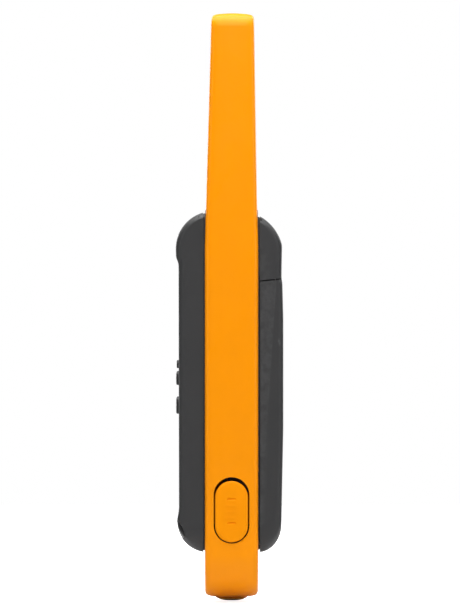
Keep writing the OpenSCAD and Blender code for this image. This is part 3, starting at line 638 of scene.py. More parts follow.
# %% Cutters for the front
KEYS = {"key_power": (-13, 72.2, 9.4, 4.4), "key_menu": (0, 72.2, 9.4, 4.4), "key_call": (13, 72.2, 9.4, 4.4),
        "key_down": (-13, 63.4, 9.4, 5.4), "key_lock": (0, 63.4, 9.4, 5.4), "key_up": (13, 63.4, 9.4, 5.4)}
KEY_CORNER, KEY_GAP = 1.6, 0.25
DISPLAY, DISPLAY_SEAT_Y = (0, 94.5, 34, 25), -16
SPEAKER_Z, MIC_Z, STATUS = 43, 23.6, (-12, 113)
FACE_Y = -FRONT_FACE + 0.07


def round_box(x, z, w, h, r, grow=0.0, steps=6):
    return outline(box_corners(x, z, w + 2 * grow, h + 2 * grow, r + grow), steps)


def flared(name, ring_at, face_y, deep=-12.0, flare=0.25):
    """A cutter through the face; ring_at(grow) gives its outline, larger by grow."""
    steps = [(0, deep), (0, face_y + flare), (0.3 * flare, face_y + 0.3 * flare), (flare, face_y),
             (flare + 1, face_y - 1)]
    return stack(name, "y", [(ring_at(g), y) for g, y in steps])


def lying_pill(x, z, w, h, grow):
    """A pill with its length along X, as an outline in X and Z."""
    ring = pill(0, 0, h + 2 * grow, w + 2 * grow, 10)
    return np.column_stack([x + ring[:, 1], z - ring[:, 0]])


def key_opening(key):
    def ring_at(grow):
        return round_box(*KEYS[key], KEY_CORNER + KEY_GAP, KEY_GAP + grow)
    return flared("cut " + key, ring_at, FACE_Y)


def display_opening():
    """A window through the face, and a shallow seat round it for the window's plate."""
    x, z, w, h = DISPLAY
    through = round_box(x, z, w - 3, h - 3, 1)
    seat = [(0.1, DISPLAY_SEAT_Y), (0.1, -FRONT_FACE + 0.25), (0.18, -FRONT_FACE + 0.08), (0.38, -FRONT_FACE),
            (1.4, -FRONT_FACE - 1)]
    layers = [(through, -12), (through, DISPLAY_SEAT_Y)]
    return stack("cut display", "y", layers + [(round_box(x, z, w, h, 2, g), y) for g, y in seat])


cutters = [key_opening(k) for k in KEYS] + [display_opening()]
print("cutters so far:", len(cutters))

# %% [markdown]
# The grille's slots stand in five rows of three. They get shorter away from the middle row, so that together
# they read as a round grille over the speaker. All cutters are joined and cut in one go.

# %% Grille slots, and the cut
slots = []
for row in range(-2, 3):
    length = 11 - abs(row) * 1.6
    for column in (-1, 0, 1):
        slots.append((column * (length + 1.8), SPEAKER_Z + row * 4.1, length, 1.5))
cutters += [flared(f"slot {i}", lambda g, s=s: lying_pill(*s, g), FACE_Y + 0.05) for i, s in enumerate(slots)]
cutters.append(flared("cut status", lambda g: circle(*STATUS, 1.2 + g, 24), -FRONT_BUMP + 0.1))
combine(front, "DIFFERENCE", join("front cutters", cutters))
BAR = (0, 76.7, 9.4, 2.6)
bar_steps = [(0, -16), (0, -FRONT_FACE - 0.5), (-0.1, -FRONT_FACE - 0.65), (-0.35, -FRONT_FACE - 0.7)]
combine(front, "UNION", stack("bar", "y", [(lying_pill(*BAR, g), y) for g, y in bar_steps]))
print("slots:", len(slots), "front faces:", len(front.data.polygons))

# %% [markdown]
# ## The chin insert
#
# Round the chin runs a bar of black gloss that sits in a groove of the shell and follows its skin. From the
# side only its end shows, as a dark sliver. It is the shell's own loft, cut to the bar's cross-section: the
# groove is cut with that same form, made a little larger.

# %% Groove and insert
CHIN_BAR = np.array([
    [-19, 26], [-17, 25.7], [-16, 24.4], [-15.4, 22.8], [-15.1, 21.5], [-15.4, 20.8], [-19, 20.3]])
GROOVE_DEPTH, BAR_DEPTH, BAR_SINK, BAR_GAP = 0.9, 0.86, 0.06, 0.12


def chin_prism(name, grow):
    middle = CHIN_BAR.mean(axis=0)
    return side_bar(name, [p + grow * unit(p - middle) for p in CHIN_BAR], 30)


def under_skin(name, depth):
    """The front's own form at a depth below its skin."""
    return cut_flat(shell_loft(name, front_profile, depth), (0, -5, 0), (0, 1, 0))


groove = combine(chin_prism("groove", BAR_GAP), "DIFFERENCE", under_skin("under groove", GROOVE_DEPTH))
combine(front, "DIFFERENCE", groove)
mic_cutter = flared("mic cutter", lambda g: circle(0, MIC_Z, 0.6 + g, 20), -FRONT_FACE - 0.3, -12, 0.15)
combine(front, "DIFFERENCE", mic_cutter, keep=True)

insert = cut_flat(shell_loft("insert", front_profile, BAR_SINK), (0, -RIM_Y, 0), (0, 1, 0))
combine(insert, "INTERSECT", chin_prism("bar prism", 0))
combine(insert, "DIFFERENCE", under_skin("under insert", BAR_DEPTH), mic_cutter)
print("insert faces:", len(insert.data.polygons))

# %% [markdown]
# ## Rear shell and battery door
#
# The rear dome is parted by a seam that climbs a little towards the back. Below it is the battery door,
# which swings down on two tongues at its foot; above it the dome belongs to the rear shell, which also
# holds the battery bay inside. Both halves are the same loft cut by the same slanted block, so that the
# seam has one width all round. The bay is plain walls, and they are joined on as solids.

# %% Part the rear dome
CELL_D, CELL_L, CELL_PITCH, CELL_Y = 14.4, 50.5, 14.9, 7.35
BAY_Z0, BAY_W, BAY_WALL, BAY_FLOOR = 37, 45.2, 1.4, -1.2
SPRING_L, PLATE_T = 6, 0.5
BAY_Z1 = BAY_Z0 + SPRING_L + CELL_L + 2 * PLATE_T
SHELF_Z0, SHELF_Z1 = SEAM_Z + 1.8, SEAM_Z + 3.4
FLOOR_Y = RIM_Y - 0.2


def seam_at(y, up=0.0):
    return SEAM_Z + up + SEAM_RISE * (y - RIM_Y) / 7


def below_seam(name, up):
    return side_bar(name, [[0, -5], [30, -5], [30, seam_at(30, up)], [0, seam_at(0, up)]])


def bay_block(name, grow, y0, y1):
    return block(name, -BAY_W / 2 - grow, BAY_W / 2 + grow, y0, y1, BAY_Z0 - grow, BAY_Z1 + grow)


def copy_of(piece, name):
    twin = bpy.data.objects.new(name, piece.data.copy())
    bpy.context.scene.collection.objects.link(twin)
    return twin


door = combine(copy_of(rear, "door"), "INTERSECT", below_seam("door side", 0))
upper = combine(rear, "DIFFERENCE", below_seam("upper side", DOOR_GAP))
print("door faces:", len(door.data.polygons), "upper faces:", len(upper.data.polygons))

# %% [markdown]
# Inside, the rear shell holds the bay for the cells, a floor round it, posts for the screws, and a collar
# that the door closes against. They show when the door is open. Each is a plain block or plate, cut to stay
# under the skin by the shell's own loft at a depth.

# %% The bay and the ribs inside the rear shell
def inside_rear(name, depth):
    return cut_flat(shell_loft(name, rear_profile, depth), (0, RIM_Y - 0.3, 0), (0, -1, 0))


def across(name, y0, y1, z0, z1):
    """A block right across the radio."""
    return block(name, -OUT, OUT, y0, y1, z0, z1)


rear_lip = locating_lip("rear lip", LIP_Y, BAND_HALF - TOUCH)
upper_neck = rim_ring("upper neck", 0.6, 3, BAND_HALF - 0.3, RIM_Y + 0.6)
combine(upper_neck, "INTERSECT", side_bar("upper side view", rear_profile(0.4)),
        across("upper room", 0, REAR_OUT, SHELF_Z0, TOP_OUT))
lower_neck = rim_ring("lower neck", 0.7, 2, BAND_HALF - 0.3, FLOOR_Y)
combine(lower_neck, "INTERSECT", side_bar("lower side view", rear_profile(0.8)))
rim_guard = rim_ring("rim guard", SHELL_WALL + 0.8, SHELL_WALL + 1.4, RIM_Y - 0.3, RIM_Y + 0.6)
combine(rim_guard, "DIFFERENCE", bay_block("beside the bay", BAY_WALL + TOUCH, FLOOR_Y, REAR_OUT),
        across("above the seam", 0, REAR_OUT, SEAM_Z + 2, TOP_OUT))
collar = inside_rear("collar", SHELL_WALL + 0.35)
combine(collar, "INTERSECT", across("collar room", RIM_Y, REAR_OUT, SEAM_Z - 0.9, SEAM_Z + 2))
combine(collar, "DIFFERENCE", inside_rear("collar inside", SHELL_WALL + 1.15))
floor_plate = shell_plate("floor plate", 1.5, 7.4, FLOOR_Y)
combine(floor_plate, "DIFFERENCE", across("above the floor", 0, REAR_OUT, SHELF_Z1, TOP_OUT),
        bay_block("bay hole", 0, 0, REAR_OUT))
bay = bay_block("bay", BAY_WALL, BAY_FLOOR, FLOOR_Y)
combine(bay, "DIFFERENCE", bay_block("bay room", 0, 0, REAR_OUT))
ledge = inside_rear("ledge", 0.5)
combine(ledge, "INTERSECT", across("ledge room", RIM_Y - 0.25, REAR_OUT, SHELF_Z0, SHELF_Z1))
combine(ledge, "DIFFERENCE", below_seam("ledge side", DOOR_GAP))
clip_room = block("clip room", -11.5, 11.5, 11.7, 25, SEAM_Z + 2, 124)
clip_back = combine(inside_rear("clip back", 0.5), "INTERSECT", clip_room)
shelf = block("shelf", -24, 24, RIM_Y - 1, RIM_Y + SHELL_WALL, SHELF_Z0, SHELF_Z1)
bosses = join("bosses", [rod(f"boss at {x}, {z}", x, z, BOSS_R, -0.9, FLOOR_Y) for x, z in BOSSES])
combine(upper, "UNION", collar, ledge, clip_back, shelf, upper_neck, lower_neck, rear_lip, rim_guard,
        floor_plate, bay, bosses)
print("rear shell with its bay:", len(upper.data.polygons))

# %% [markdown]
# Three more cuts finish the rear shell: the belt clip's slot, the notch that the latch hooks into, and the
# holes of the four screws with the seats of their heads.

# %% Clip slot, notch and screw holes
TAB_X, TAB_Z = 7, (16.9, 18.1)
HEAD_Y, HEAD_R = 7.4, 2.0


def clip_slot():
    """The belt clip's slot: a neck open to the back, and a wider foot behind it."""
    half = [[-8, 25], [-8, 14.6], [-9.5, 14.6], [-9.5, 13.3]]
    ring = np.array(half + [[-x, y] for x, y in half[::-1]], float)
    return stack("clip slot", "z", [(ring, 107), (ring, 140)])


def door_tabs(grow, half=3):
    """The door's two tongues, or with some growth the room that they turn in."""
    reach, foot, top = half + grow, TAB_Z[0] - 5 * grow, TAB_Z[1] + 11 * grow
    return [block(f"tab {x}", x - reach, x + reach, 7.2 - 2 * grow, 11, foot, top) for x in (-TAB_X, TAB_X)]


def screw_hole(x, z):
    gap, seat = 0.2, HEAD_Y - 0.1
    steps = [(SCREW_R + gap, -5), (SCREW_R + gap, seat), (HEAD_R + gap, seat), (HEAD_R + gap, REAR_OUT)]
    return stack(f"hole at {x}, {z}", "y", [(circle(x, z, r, 24), y) for r, y in steps])


screw_holes = join("screw holes", [screw_hole(x, z) for x, z in BOSSES])
latch_notch = block("latch notch", -6.2, 6.2, 12.5, 25, SEAM_Z - 1, SEAM_Z + 2.4)
combine(upper, "DIFFERENCE", clip_slot(), latch_notch, *door_tabs(0.3), screw_holes)
smooth(upper)
print("rear shell faces:", len(upper.data.polygons))

# %% [markdown]
# The door gets its latch window, the rails and hooks that hold the sliding latch, and its two hinge
# tongues. The window's edge is broken outwards, so that a thumb slides over it on to the latch.

# %% The battery door
RAIL_X, HOOK_X, RAIL_Z0, RAIL_Z1 = 8.2, 7.8, 91, 101.2
for s in (-1, 1):
    rail = block("rail", s * RAIL_X - 0.7, s * RAIL_X + 0.7, 12.5, 15.3, RAIL_Z0, RAIL_Z1)
    hook = block("hook", s * HOOK_X - 1.1, s * HOOK_X + 1.1, 12.4, 13, RAIL_Z0, RAIL_Z1)
    combine(door, "UNION", rail, hook)
combine(door, "UNION", *door_tabs(0))
WINDOW = (0, 98.6, 11.6, 15.2)
window_steps = [(0, 10), (0, REAR_FACE - 0.5), (0.08, REAR_FACE - 0.3), (0.5, REAR_FACE + 0.12),
                (1, REAR_FACE + 3)]
window_cutter = stack("door window", "y", [(round_box(*WINDOW, 0.5, g, 3), y) for g, y in window_steps])
combine(door, "DIFFERENCE", window_cutter)
for p in (door, front, insert):
    smooth(p)
soften(insert, 0.12)
insert.modifiers.move(1, 0)  # the broken edge comes before the flat faces are weighed
print("door faces:", len(door.data.polygons))

# %% [markdown]
# ## Turned and stacked parts
#
# The torch lens, the caps, the cells and the screws are round about an axis, so each is a half profile
# turned about it. The keys and the side buttons are stacks of growing and shrinking outlines, which give
# them crowned tops and soft edges with few faces.

# %% Turning a profile
def turned(name, profile, axis="z", centre=(0, 0), steps=64):
    """Turns (radius, depth) points about an axis; the first and last radius end in small flat caps."""
    rings = [(circle(*centre, max(r, 0.02), steps), w) for r, w in profile]
    return stack(name, axis, rings)


torch_lens = turned("torch_lens_clear", [
    (0.3, 0), (1.9, 0), (2.15, 0.03), (2.6, 0.1), (3.3, 0.22), (3.9, 0.4), (4.3, 0.6), (4.48, 0.8),
    (4.5, 1.0), (4.5, 2.2), (0.3, 2.2)])
status = turned("status_light", [
    (1.1, -12.1), (1.1, -FRONT_BUMP + 0.42), (1.0, -FRONT_BUMP + 0.27), (0.75, -FRONT_BUMP + 0.19),
    (0.3, -FRONT_BUMP + 0.15)], "y", STATUS, 32)
jack_cap = turned("jack_cap_disc", [
    (3.4, 127.1), (3.95, 127.14), (CAP_R, 127.3), (CAP_R, 128.05), (4.0, 128.25), (3.75, 128.36),
    (3.3, 128.4), (2.4, 128.4), (2.2, 128.32), (2.0, 128.25), (0.3, 128.25)], "z", (JACK_X, JACK_Y))
for p in (torch_lens, status, jack_cap):
    smooth(p)
print("turned:", [p.name for p in (torch_lens, status, jack_cap)])

# %% [markdown]
# ## Keys
#
# A key is a rubber cap on a flange: the flange stays behind the face, and the cap stands 0.85 mm proud with
# a crowned top. The photograph shows only their sides. Their marks are generic: bars, a dot, chevrons and a
# ring, raised by a twentieth of a millimetre and printed pale.

# %% Key caps
KEY_TOP, FLANGE_Y = -FRONT_FACE - 0.85, -14.95


def key_cap(name, x, z, w, h):
    flange = round_box(x, z, w + 1.4, h + 1.2, KEY_CORNER)
    steps = [(0.02, -15), (0, -16.9), (-0.03, KEY_TOP + 0.38), (-0.14, KEY_TOP + 0.2), (-0.34, KEY_TOP + 0.1),
             (-0.8, KEY_TOP + 0.06), (-1.4, KEY_TOP + 0.05)]
    layers = [(flange, FLANGE_Y + 0.75), (flange, FLANGE_Y)]
    layers += [(round_box(x, z, w, h, KEY_CORNER, g), y) for g, y in steps]
    return smooth(stack(name + "_cap", "y", layers), 40)


key_caps = {k: key_cap(k, *KEYS[k]) for k in KEYS}
print("keys:", len(key_caps))

# %% [markdown]
# The marks are small raised shapes rather than printed ones, so that they need no picture: each is an
# outline of bars, arcs or chevrons, stacked to a low solid that sinks a little into the cap.

# %% Key marks
def raised_shape(name, shape, x, z):
    """A closed outline about the key's middle, raised with a slightly smaller top."""
    y = KEY_TOP + 0.05
    shape = np.array(shape)
    middle = np.mean(shape, axis=0)
    foot, top = shape + [x, z], 0.9 * (shape - middle) + middle + [x, z]
    return stack(name, "y", [(foot, y + 0.3), (foot, y - 0.03), (top, y - 0.05)])


def mark(name, x, z, shapes):
    raised = [raised_shape(f"{name} {i}", shape, x, z) for i, shape in enumerate(shapes)]
    return smooth(join(name + "_mark", raised), 40)


def turned_over(ring):
    """An outline with its two directions exchanged, and still running the same way round."""
    return ring[:, ::-1] * [1, -1]


def bar_shape(u, v, w, h):
    return lying_pill(u, v, w, h, 0) if w > h else turned_over(lying_pill(0, 0, h, w, 0)) + [u, v]


def chevron(way):
    ring = np.array([[-1.3, -0.5], [0, 0.5], [1.3, -0.5], [1.3, 0.0], [0, 1.0], [-1.3, 0.0]])
    return ring * [1, way] - [0, 0.25 * way]


def open_ring(r, wide, gap):
    """A ring of a width that is open at its top by a gap in degrees on either side."""
    turn = np.radians(np.linspace(90 + gap, 450 - gap, 40))
    line = np.column_stack([np.cos(turn), np.sin(turn)])
    return np.vstack([r * line, (r - wide) * line[::-1]])


MARKS = {
    "key_power": [open_ring(1.15, 0.32, 30), bar_shape(0, 0.75, 0.34, 1.2)],
    "key_menu": [bar_shape(0, s, 2.4, 0.34) for s in (-0.8, 0, 0.8)],
    "key_call": [circle(0, 0, 0.55, 24), bar_shape(-1.6, 0, 0.34, 1.3), bar_shape(1.6, 0, 0.34, 1.3)],
    "key_down": [chevron(-1)], "key_lock": [open_ring(1.1, 0.36, 0.5)], "key_up": [chevron(1)]}
key_marks = {k: mark(k, KEYS[k][0], KEYS[k][1], MARKS[k]) for k in KEYS}
print("shapes in the marks:", sum(len(m) for m in MARKS.values()))

# %% [markdown]
# ## Side buttons
#
# On the side away from the antenna are the long talk button and the short torch button, both rubber. Low
# bars across the talk button let a finger find it; the torch button has a small raised ring.

# %% Talk and torch buttons
SLACK, FLANGE_X, PROUD = 0.5, -26.35, {"talk": 0.8, "lamp": 0.4}


def side_cap(name, z, w, length, proud):
    top = -HALF_W - proud
    steps = [(1.05, FLANGE_X + 0.75), (1.05, FLANGE_X), (0.02, FLANGE_X - 0.05), (0, top + 0.75),
             (-0.12, top + 0.5), (-0.4, top + 0.34), (-1.0, top + 0.27), (-1.9, top + 0.25)]
    return stack(name, "x", [(pill(0, z, w - SLACK + 2 * g, length - SLACK + 2 * g), x) for g, x in steps])


def across_pill(z, length, thick, steps):
    """A pill that lies across a side, in steps of (growth, place)."""
    return stack(f"pill {z}", "x", [(turned_over(pill(0, 0, thick + 2 * g, length + 2 * g, 8)) + [0, z], x)
                                    for g, x in steps])


def side_disc(name, steps):
    return stack(name, "x", [(circle(0, LAMP_Z, r, 32), x) for r, x in steps])


talk_top, lamp_top = -HALF_W - PROUD["talk"], -HALF_W - PROUD["lamp"]
talk = side_cap("ptt_button_cap", PTT_Z, PTT_W, PTT_L, PROUD["talk"])
bar_steps = [(0, talk_top + 0.6), (0, talk_top + 0.12), (-0.12, talk_top)]
talk_bars = [across_pill(PTT_Z + 2.6 * k, 4.6, 0.9, bar_steps) for k in range(-3, 4)]
combine(talk, "UNION", join("talk bars", talk_bars))
lamp_button = side_cap("torch_button_cap", LAMP_Z, LAMP_W, LAMP_L, PROUD["lamp"])
lamp_ring = side_disc("lamp ring", [(1.5, lamp_top + 0.4), (1.5, lamp_top + 0.1), (1.38, lamp_top)])
combine(lamp_ring, "DIFFERENCE", side_disc("lamp hole", [(0.95, -28), (0.95, -30)]))
combine(lamp_button, "UNION", lamp_ring)
for p in (talk, lamp_button):
    smooth(p, 40)
print("side buttons from x", round(min(v.co.x for v in talk.data.vertices) * 1000, 2))

# %% [markdown]
# ## The charging port's cover
#
# A soft pill closes the port flush with the band. It stops about a millimetre short of the opening's top,
# so that a nail can lift it there. Its face follows the band's crown, so each ring of the stack has its own
# depth at every point. The real one carries a moulded sign, which is left off; two fine grooves and three
# low grip bars stand there.

# %% Port cover
COVER_Z, COVER_W, COVER_L = 29.3, 10.6, 19.8
COVER_TOP = HALF_W - 0.12


def crown(ring, top):
    """The depth of a face that falls away across the band as the band does."""
    return top - 0.2 * (ring[:, 0] / 5.3) ** 2


cover_layers = [(pill(0, COVER_Z, COVER_W, COVER_L), 27.4)]
for grow, below in ((0, 0.55), (-0.03, 0.38), (-0.12, 0.2), (-0.3, 0.08), (-0.6, 0.02), (-1.3, 0), (-2.4, 0),
                    (-3.8, 0)):
    ring = pill(0, COVER_Z, COVER_W + 2 * grow, COVER_L + 2 * grow)
    cover_layers.append((ring, crown(ring, COVER_TOP - below)))
port_cover = stack("port_cover", "x", cover_layers)
plug_steps = [(-0.3, 26.5), (0, 26.8), (0, 27.6)]
plug_rings = [(pill(0, COVER_Z + 0.5, 4.6 + 2 * g, 9.4 + 2 * g), x) for g, x in plug_steps]
plug = stack("cover plug", "x", plug_rings)
combine(port_cover, "UNION", plug)
groove_steps = [(-0.1, COVER_TOP - 0.32), (0, COVER_TOP - 0.15), (0.14, COVER_TOP), (0.5, COVER_TOP + 0.4)]
combine(port_cover, "DIFFERENCE", *[across_pill(z, 2.6, 0.5, groove_steps) for z in (25.65, 33.35)])
smooth(port_cover, 32)
print("cover top at x", round(max(v.co.x for v in port_cover.data.vertices) * 1000, 2))

# %% [markdown]
# A strap under the cover's lower end holds it when it is open, and another holds the jack's cap. Each is a
# thin ribbon with one end in the body and the other in the cover, so it has to bend across the hinge. Its
# mesh gets enough rings along its length for that.

# %% Straps
def strap(name, path, width, thick, across):
    """A ribbon along a path of (x, z), wide along Y about a middle."""
    rings = []
    path = np.array(path, float)
    for i, p in enumerate(path):
        along = unit(path[min(i + 1, len(path) - 1)] - path[max(i - 1, 0)])
        up = np.array([-along[1], along[0]]) * thick / 2
        side, ease = width / 2, 0.12
        ring = [(p + up, across - side + ease), (p + up, across + side - ease), (p + 0.4 * up, across + side),
                (p - 0.4 * up, across + side), (p - up, across + side - ease), (p - up, across - side + ease),
                (p - 0.4 * up, across - side), (p + 0.4 * up, across - side)]
        rings.append(np.array([[q[0], y, q[1]] for q, y in ring]))
    return smooth(skin(name, rings), 50)


cover_path = spline([[25.5, 20.85], [26.4, 20.85], [27.2, 20.8], [27.9, 20.9], [28.3, 21.5]], 6)
cover_strap = strap("port_cover_strap", cover_path, 4.6, 0.5, 0)
cap_turns = [[-6.9, 127.3], [-6.0, 127.3], [-5.0, 127.35], [-4.2, 127.6], [-3.6, 127.7]]
cap_path = spline([[JACK_X + x, z] for x, z in cap_turns], 6)
cap_strap = strap("jack_cap_strap", cap_path, 3.0, 0.5, JACK_Y)
print("straps:", len(cover_strap.data.polygons), len(cap_strap.data.polygons))

# %% [markdown]
# ## What shows when the door is open
#
# Three cells lie side by side in the bay, the middle one the other way up. A cell is a steel can in a shrunk
# film sleeve: the sleeve curls over both ends, and the steel shows inside it, with the button on a white
# washer. Each of the three parts is turned from its own half profile.

# %% Battery cells
def cell(number):
    up = number != 2
    x = (number - 2) * CELL_PITCH
    foot = BAY_Z0 + PLATE_T + (SPRING_L if up else 0)
    r, length, button = CELL_D / 2, CELL_L, 1.2
    can = length - button
    sleeve = [(r - 1.3, 0.12), (r - 0.5, 0.02), (r - 0.15, 0.12), (r - 0.02, 0.4), (r, 0.9), (r, can - 0.9),
              (r - 0.02, can - 0.4), (r - 0.15, can - 0.12), (r - 0.5, can - 0.02), (r - 1.3, can - 0.1)]
    ends = [(0.3, 0.3), (r - 1.5, 0.3), (r - 1.25, 0.2), (r - 1.2, can - 0.25), (2.9, can - 0.25),
            (2.7, can + 0.05), (2.7, length - 0.25), (2.45, length), (0.3, length)]
    washer = [(3.0, can - 0.3), (r - 1.3, can - 0.3), (r - 1.3, can - 0.16), (3.0, can - 0.16)]
    made = []
    for part, profile in (("sleeve", sleeve), ("can", ends), ("washer", washer)):
        rings = [place(circle(x, CELL_Y, radius, 64), "z", foot + (w if up else length - w))
                 for radius, w in profile]
        made.append(smooth(skin(f"battery_cell_{number}_{part}", rings, part == "washer"), 40))
    return made


cells = {n: cell(n) for n in (1, 2, 3)}
print("cells:", len(cells))

# %% [markdown]
# The contact springs are wound wire that narrows away from the plate. A curve object with a round bevel
# would do, but its ends can't be laid flat so easily; so a ring is swept along a helix whose first and last
# half turns lie flat.

# %% Battery springs
def wire(name, points, radius, sides=10):
    """A round wire swept along points, turned as little as it can be from ring to ring."""
    points = np.array(points, float)
    tangent = np.gradient(points, axis=0)
    tangent /= np.linalg.norm(tangent, axis=1)[:, None]
    normal = np.cross(tangent[0], [0.3, 0.9, 0.31])
    turn = np.linspace(0, 2 * math.pi, sides, endpoint=False)
    rings = []
    for p, t in zip(points, tangent):
        normal = unit(normal - (normal @ t) * t)
        across = np.cross(t, normal)
        rings.append(p + radius * (np.outer(np.cos(turn), normal) + np.outer(np.sin(turn), across)))
    return smooth(skin(name, rings), 50)


def spring(number):
    x = (number - 2) * CELL_PITCH
    foot = BAY_Z1 - PLATE_T - SPRING_L if number == 2 else BAY_Z0 + PLATE_T
    t = np.linspace(0, 1, 160)
    rise = np.clip((t - 0.12) / 0.76, 0, 1)
    rise = 0.35 + (SPRING_L - 0.7) * rise
    radius = 3.6 - 1.1 * (1 - t if number == 2 else t)
    turn = 2 * math.pi * 4.5 * t
    helix = np.column_stack([x + radius * np.cos(turn), CELL_Y + radius * np.sin(turn), foot + rise])
    return wire(f"spring {number}", helix, 0.34)


springs = join("battery_springs_wound", [spring(n) for n in (1, 2, 3)])
print("spring faces:", len(springs.data.polygons))

# %% [markdown]
# Four screws hold the two shells together. Each is turned from a half profile with a low domed head, and its
# crossed recess is cut by two blocks. The thread is buried in a post, so the shank stays plain.

# %% Housing screws
def screw(x, z):
    profile = [(0.3, -9.9), (0.75, -9.9), (SCREW_R, -9.3), (SCREW_R, HEAD_Y), (HEAD_R, HEAD_Y),
               (HEAD_R, 8.35), (1.86, 8.6), (1.5, 8.8), (0.9, 8.88), (0.3, 8.9)]
    made = turned(f"screw at {x}, {z}", profile, "y", (x, z), 40)
    for name, w, h in (("recess across", 2.3, 0.5), ("recess along", 0.5, 2.3)):
        combine(made, "DIFFERENCE", block(name, x - w / 2, x + w / 2, 8.0, 10, z - h / 2, z + h / 2))
    return made


screws = smooth(join("housing_screws_crossed", [screw(x, z) for x, z in BOSSES]), 30)
print("screw faces:", len(screws.data.polygons))

# %% [markdown]
# ## The display window
#
# The window is one moulding of black gloss with a clear middle, over a display that is switched off. From
# outside that reads as a deep, slightly green field in a black border, under the same gloss. So the window
# is one crowned plate, and the field is a second finish on the faces of its middle.

# %% Display window
def window_plate():
    x, z, w, h = DISPLAY
    face = -FRONT_FACE + 0.05
    steps = [(0, face + 1.0), (0, face + 0.25), (-0.06, face + 0.1), (-0.22, face + 0.02), (-0.5, face)]
    layers = [(round_box(x, z, w, h, 2, g, 8), y) for g, y in steps]
    field = round_box(x, z, w - 4.6, h - 5.4, 1, 0, 8)
    return stack("display_window", "y", layers + [(field, face)])


display_window = window_plate()
print("window faces:", len(display_window.data.polygons))

# %% [markdown]
# The grille is backed by a cloth. It is one disc with a fine plain weave in its finish, and a small pillow
# between the slots, where the cone's frame pushes it forward.

# %% Speaker cloth
SPEAKER_R, PILLOW = 15.5, 0.08
cloth_steps = [(SPEAKER_R, -15.1), (SPEAKER_R, -15.16)]
cloth_steps += [(r, -15.17 - PILLOW * (1 - (r / SPEAKER_R) ** 2)) for r in (15.2, 13, 10, 7, 4, 1, 0.05)]
cloth_rings = [(circle(0, SPEAKER_Z, r, 72), y) for r, y in cloth_steps]
cloth = smooth(stack("speaker_cloth_disc", "y", cloth_rings), 40, False)
print("cloth faces:", len(cloth.data.polygons))

# %% [markdown]
# # Finishes
#
# Every effect that comes back in several finishes is a shader group: the grain of a mould, wear along
# edges, drawing lines, dust, weave, board tracks. A group only puts out masks and heights; the shader that
# uses them stays in each material, with its own plain values. Three helpers place nodes and wire them, so
# that a finish below reads as a short list of what goes where.

# %% Nodes and groups
def feed(tree, target, **inputs):
    """Fills a node's inputs: each one gets a plain value, or a link from a socket."""
    for key, value in inputs.items():
        at = int(key[1:]) if key[1:].isdigit() else key.replace("_", " ")
        if isinstance(value, bpy.types.NodeSocket):
            tree.links.new(value, target.inputs[at])
        else:
            target.inputs[at].default_value = value
    return target


def node(tree, kind, settings=None, **inputs):
    """A node with its settings; an input is named by its label, or by i and its number."""
    made = tree.nodes.new(kind)
    for key, value in (settings or {}).items():
        setattr(made, key, value)
    return feed(tree, made, **inputs)


def group(name, inputs, *outputs):
    """An empty shader group: inputs are {name: default}, and every output is a mask or a height."""
    tree = bpy.data.node_groups.new(name, "ShaderNodeTree")
    for label, value in inputs.items():
        tree.interface.new_socket(label, in_out="INPUT", socket_type="NodeSocketFloat").default_value = value
    for label in outputs:
        tree.interface.new_socket(label, in_out="OUTPUT", socket_type="NodeSocketFloat")
    return tree, tree.nodes.new("NodeGroupInput").outputs, tree.nodes.new("NodeGroupOutput")


print("nodes and groups ready")

# %% [markdown]
# A few steps come back in nearly every finish: a sum or product, a mix of two colours, a mask stretched to a
# range, a noise in the object's own space, and a size in millimetres turned into a texture's scale.

# %% Steps that finishes share
def math_node(tree, operation, a, b=0.0, clamp=False):
    return node(tree, "ShaderNodeMath", {"operation": operation, "use_clamp": clamp}, i0=a, i1=b).outputs[0]


def times(tree, a, b):
    return math_node(tree, "MULTIPLY", a, b)


def mix_colour(tree, share, a, b):
    return node(tree, "ShaderNodeMix", {"data_type": "RGBA"}, i0=share, i6=a, i7=b).outputs[2]


def ramp(tree, value, low, high, to_low=0.0, to_high=1.0):
    """The value's stretch from low to high, spread over another stretch and held at its ends."""
    return node(tree, "ShaderNodeMapRange", {"clamp": True}, Value=value, From_Min=low, From_Max=high,
                To_Min=to_low, To_Max=to_high).outputs[0]


def around(tree, mask, middle, reach):
    """A value that a mask moves up and down about its middle."""
    return ramp(tree, mask, 0, 1, middle - reach, middle + reach)


def object_place(tree):
    return node(tree, "ShaderNodeTexCoord").outputs["Object"]


def per_mm(tree, size):
    """The texture scale that gives a size in millimetres."""
    return math_node(tree, "DIVIDE", 1000.0, size)


def noise(tree, place_in, scale, detail, roughness=0.5, distortion=0.0):
    return node(tree, "ShaderNodeTexNoise", Vector=place_in, Scale=scale, Detail=detail, Roughness=roughness,
                Distortion=distortion).outputs["Fac"]


def shade(colour, by=1.0, lift=0.0):
    """A colour made darker or paler, with the fourth value that a colour socket holds."""
    return tuple(min(1.0, c * by + lift) for c in colour) + (1,)


print("node helpers ready")

# %% [markdown]
# Moulded plastic shows the texture of its mould: a fine spark-eroded grain under a slow waviness, and faint
# clouds of colour where the melt flowed. Two noises and a cell pattern in object space give all three.

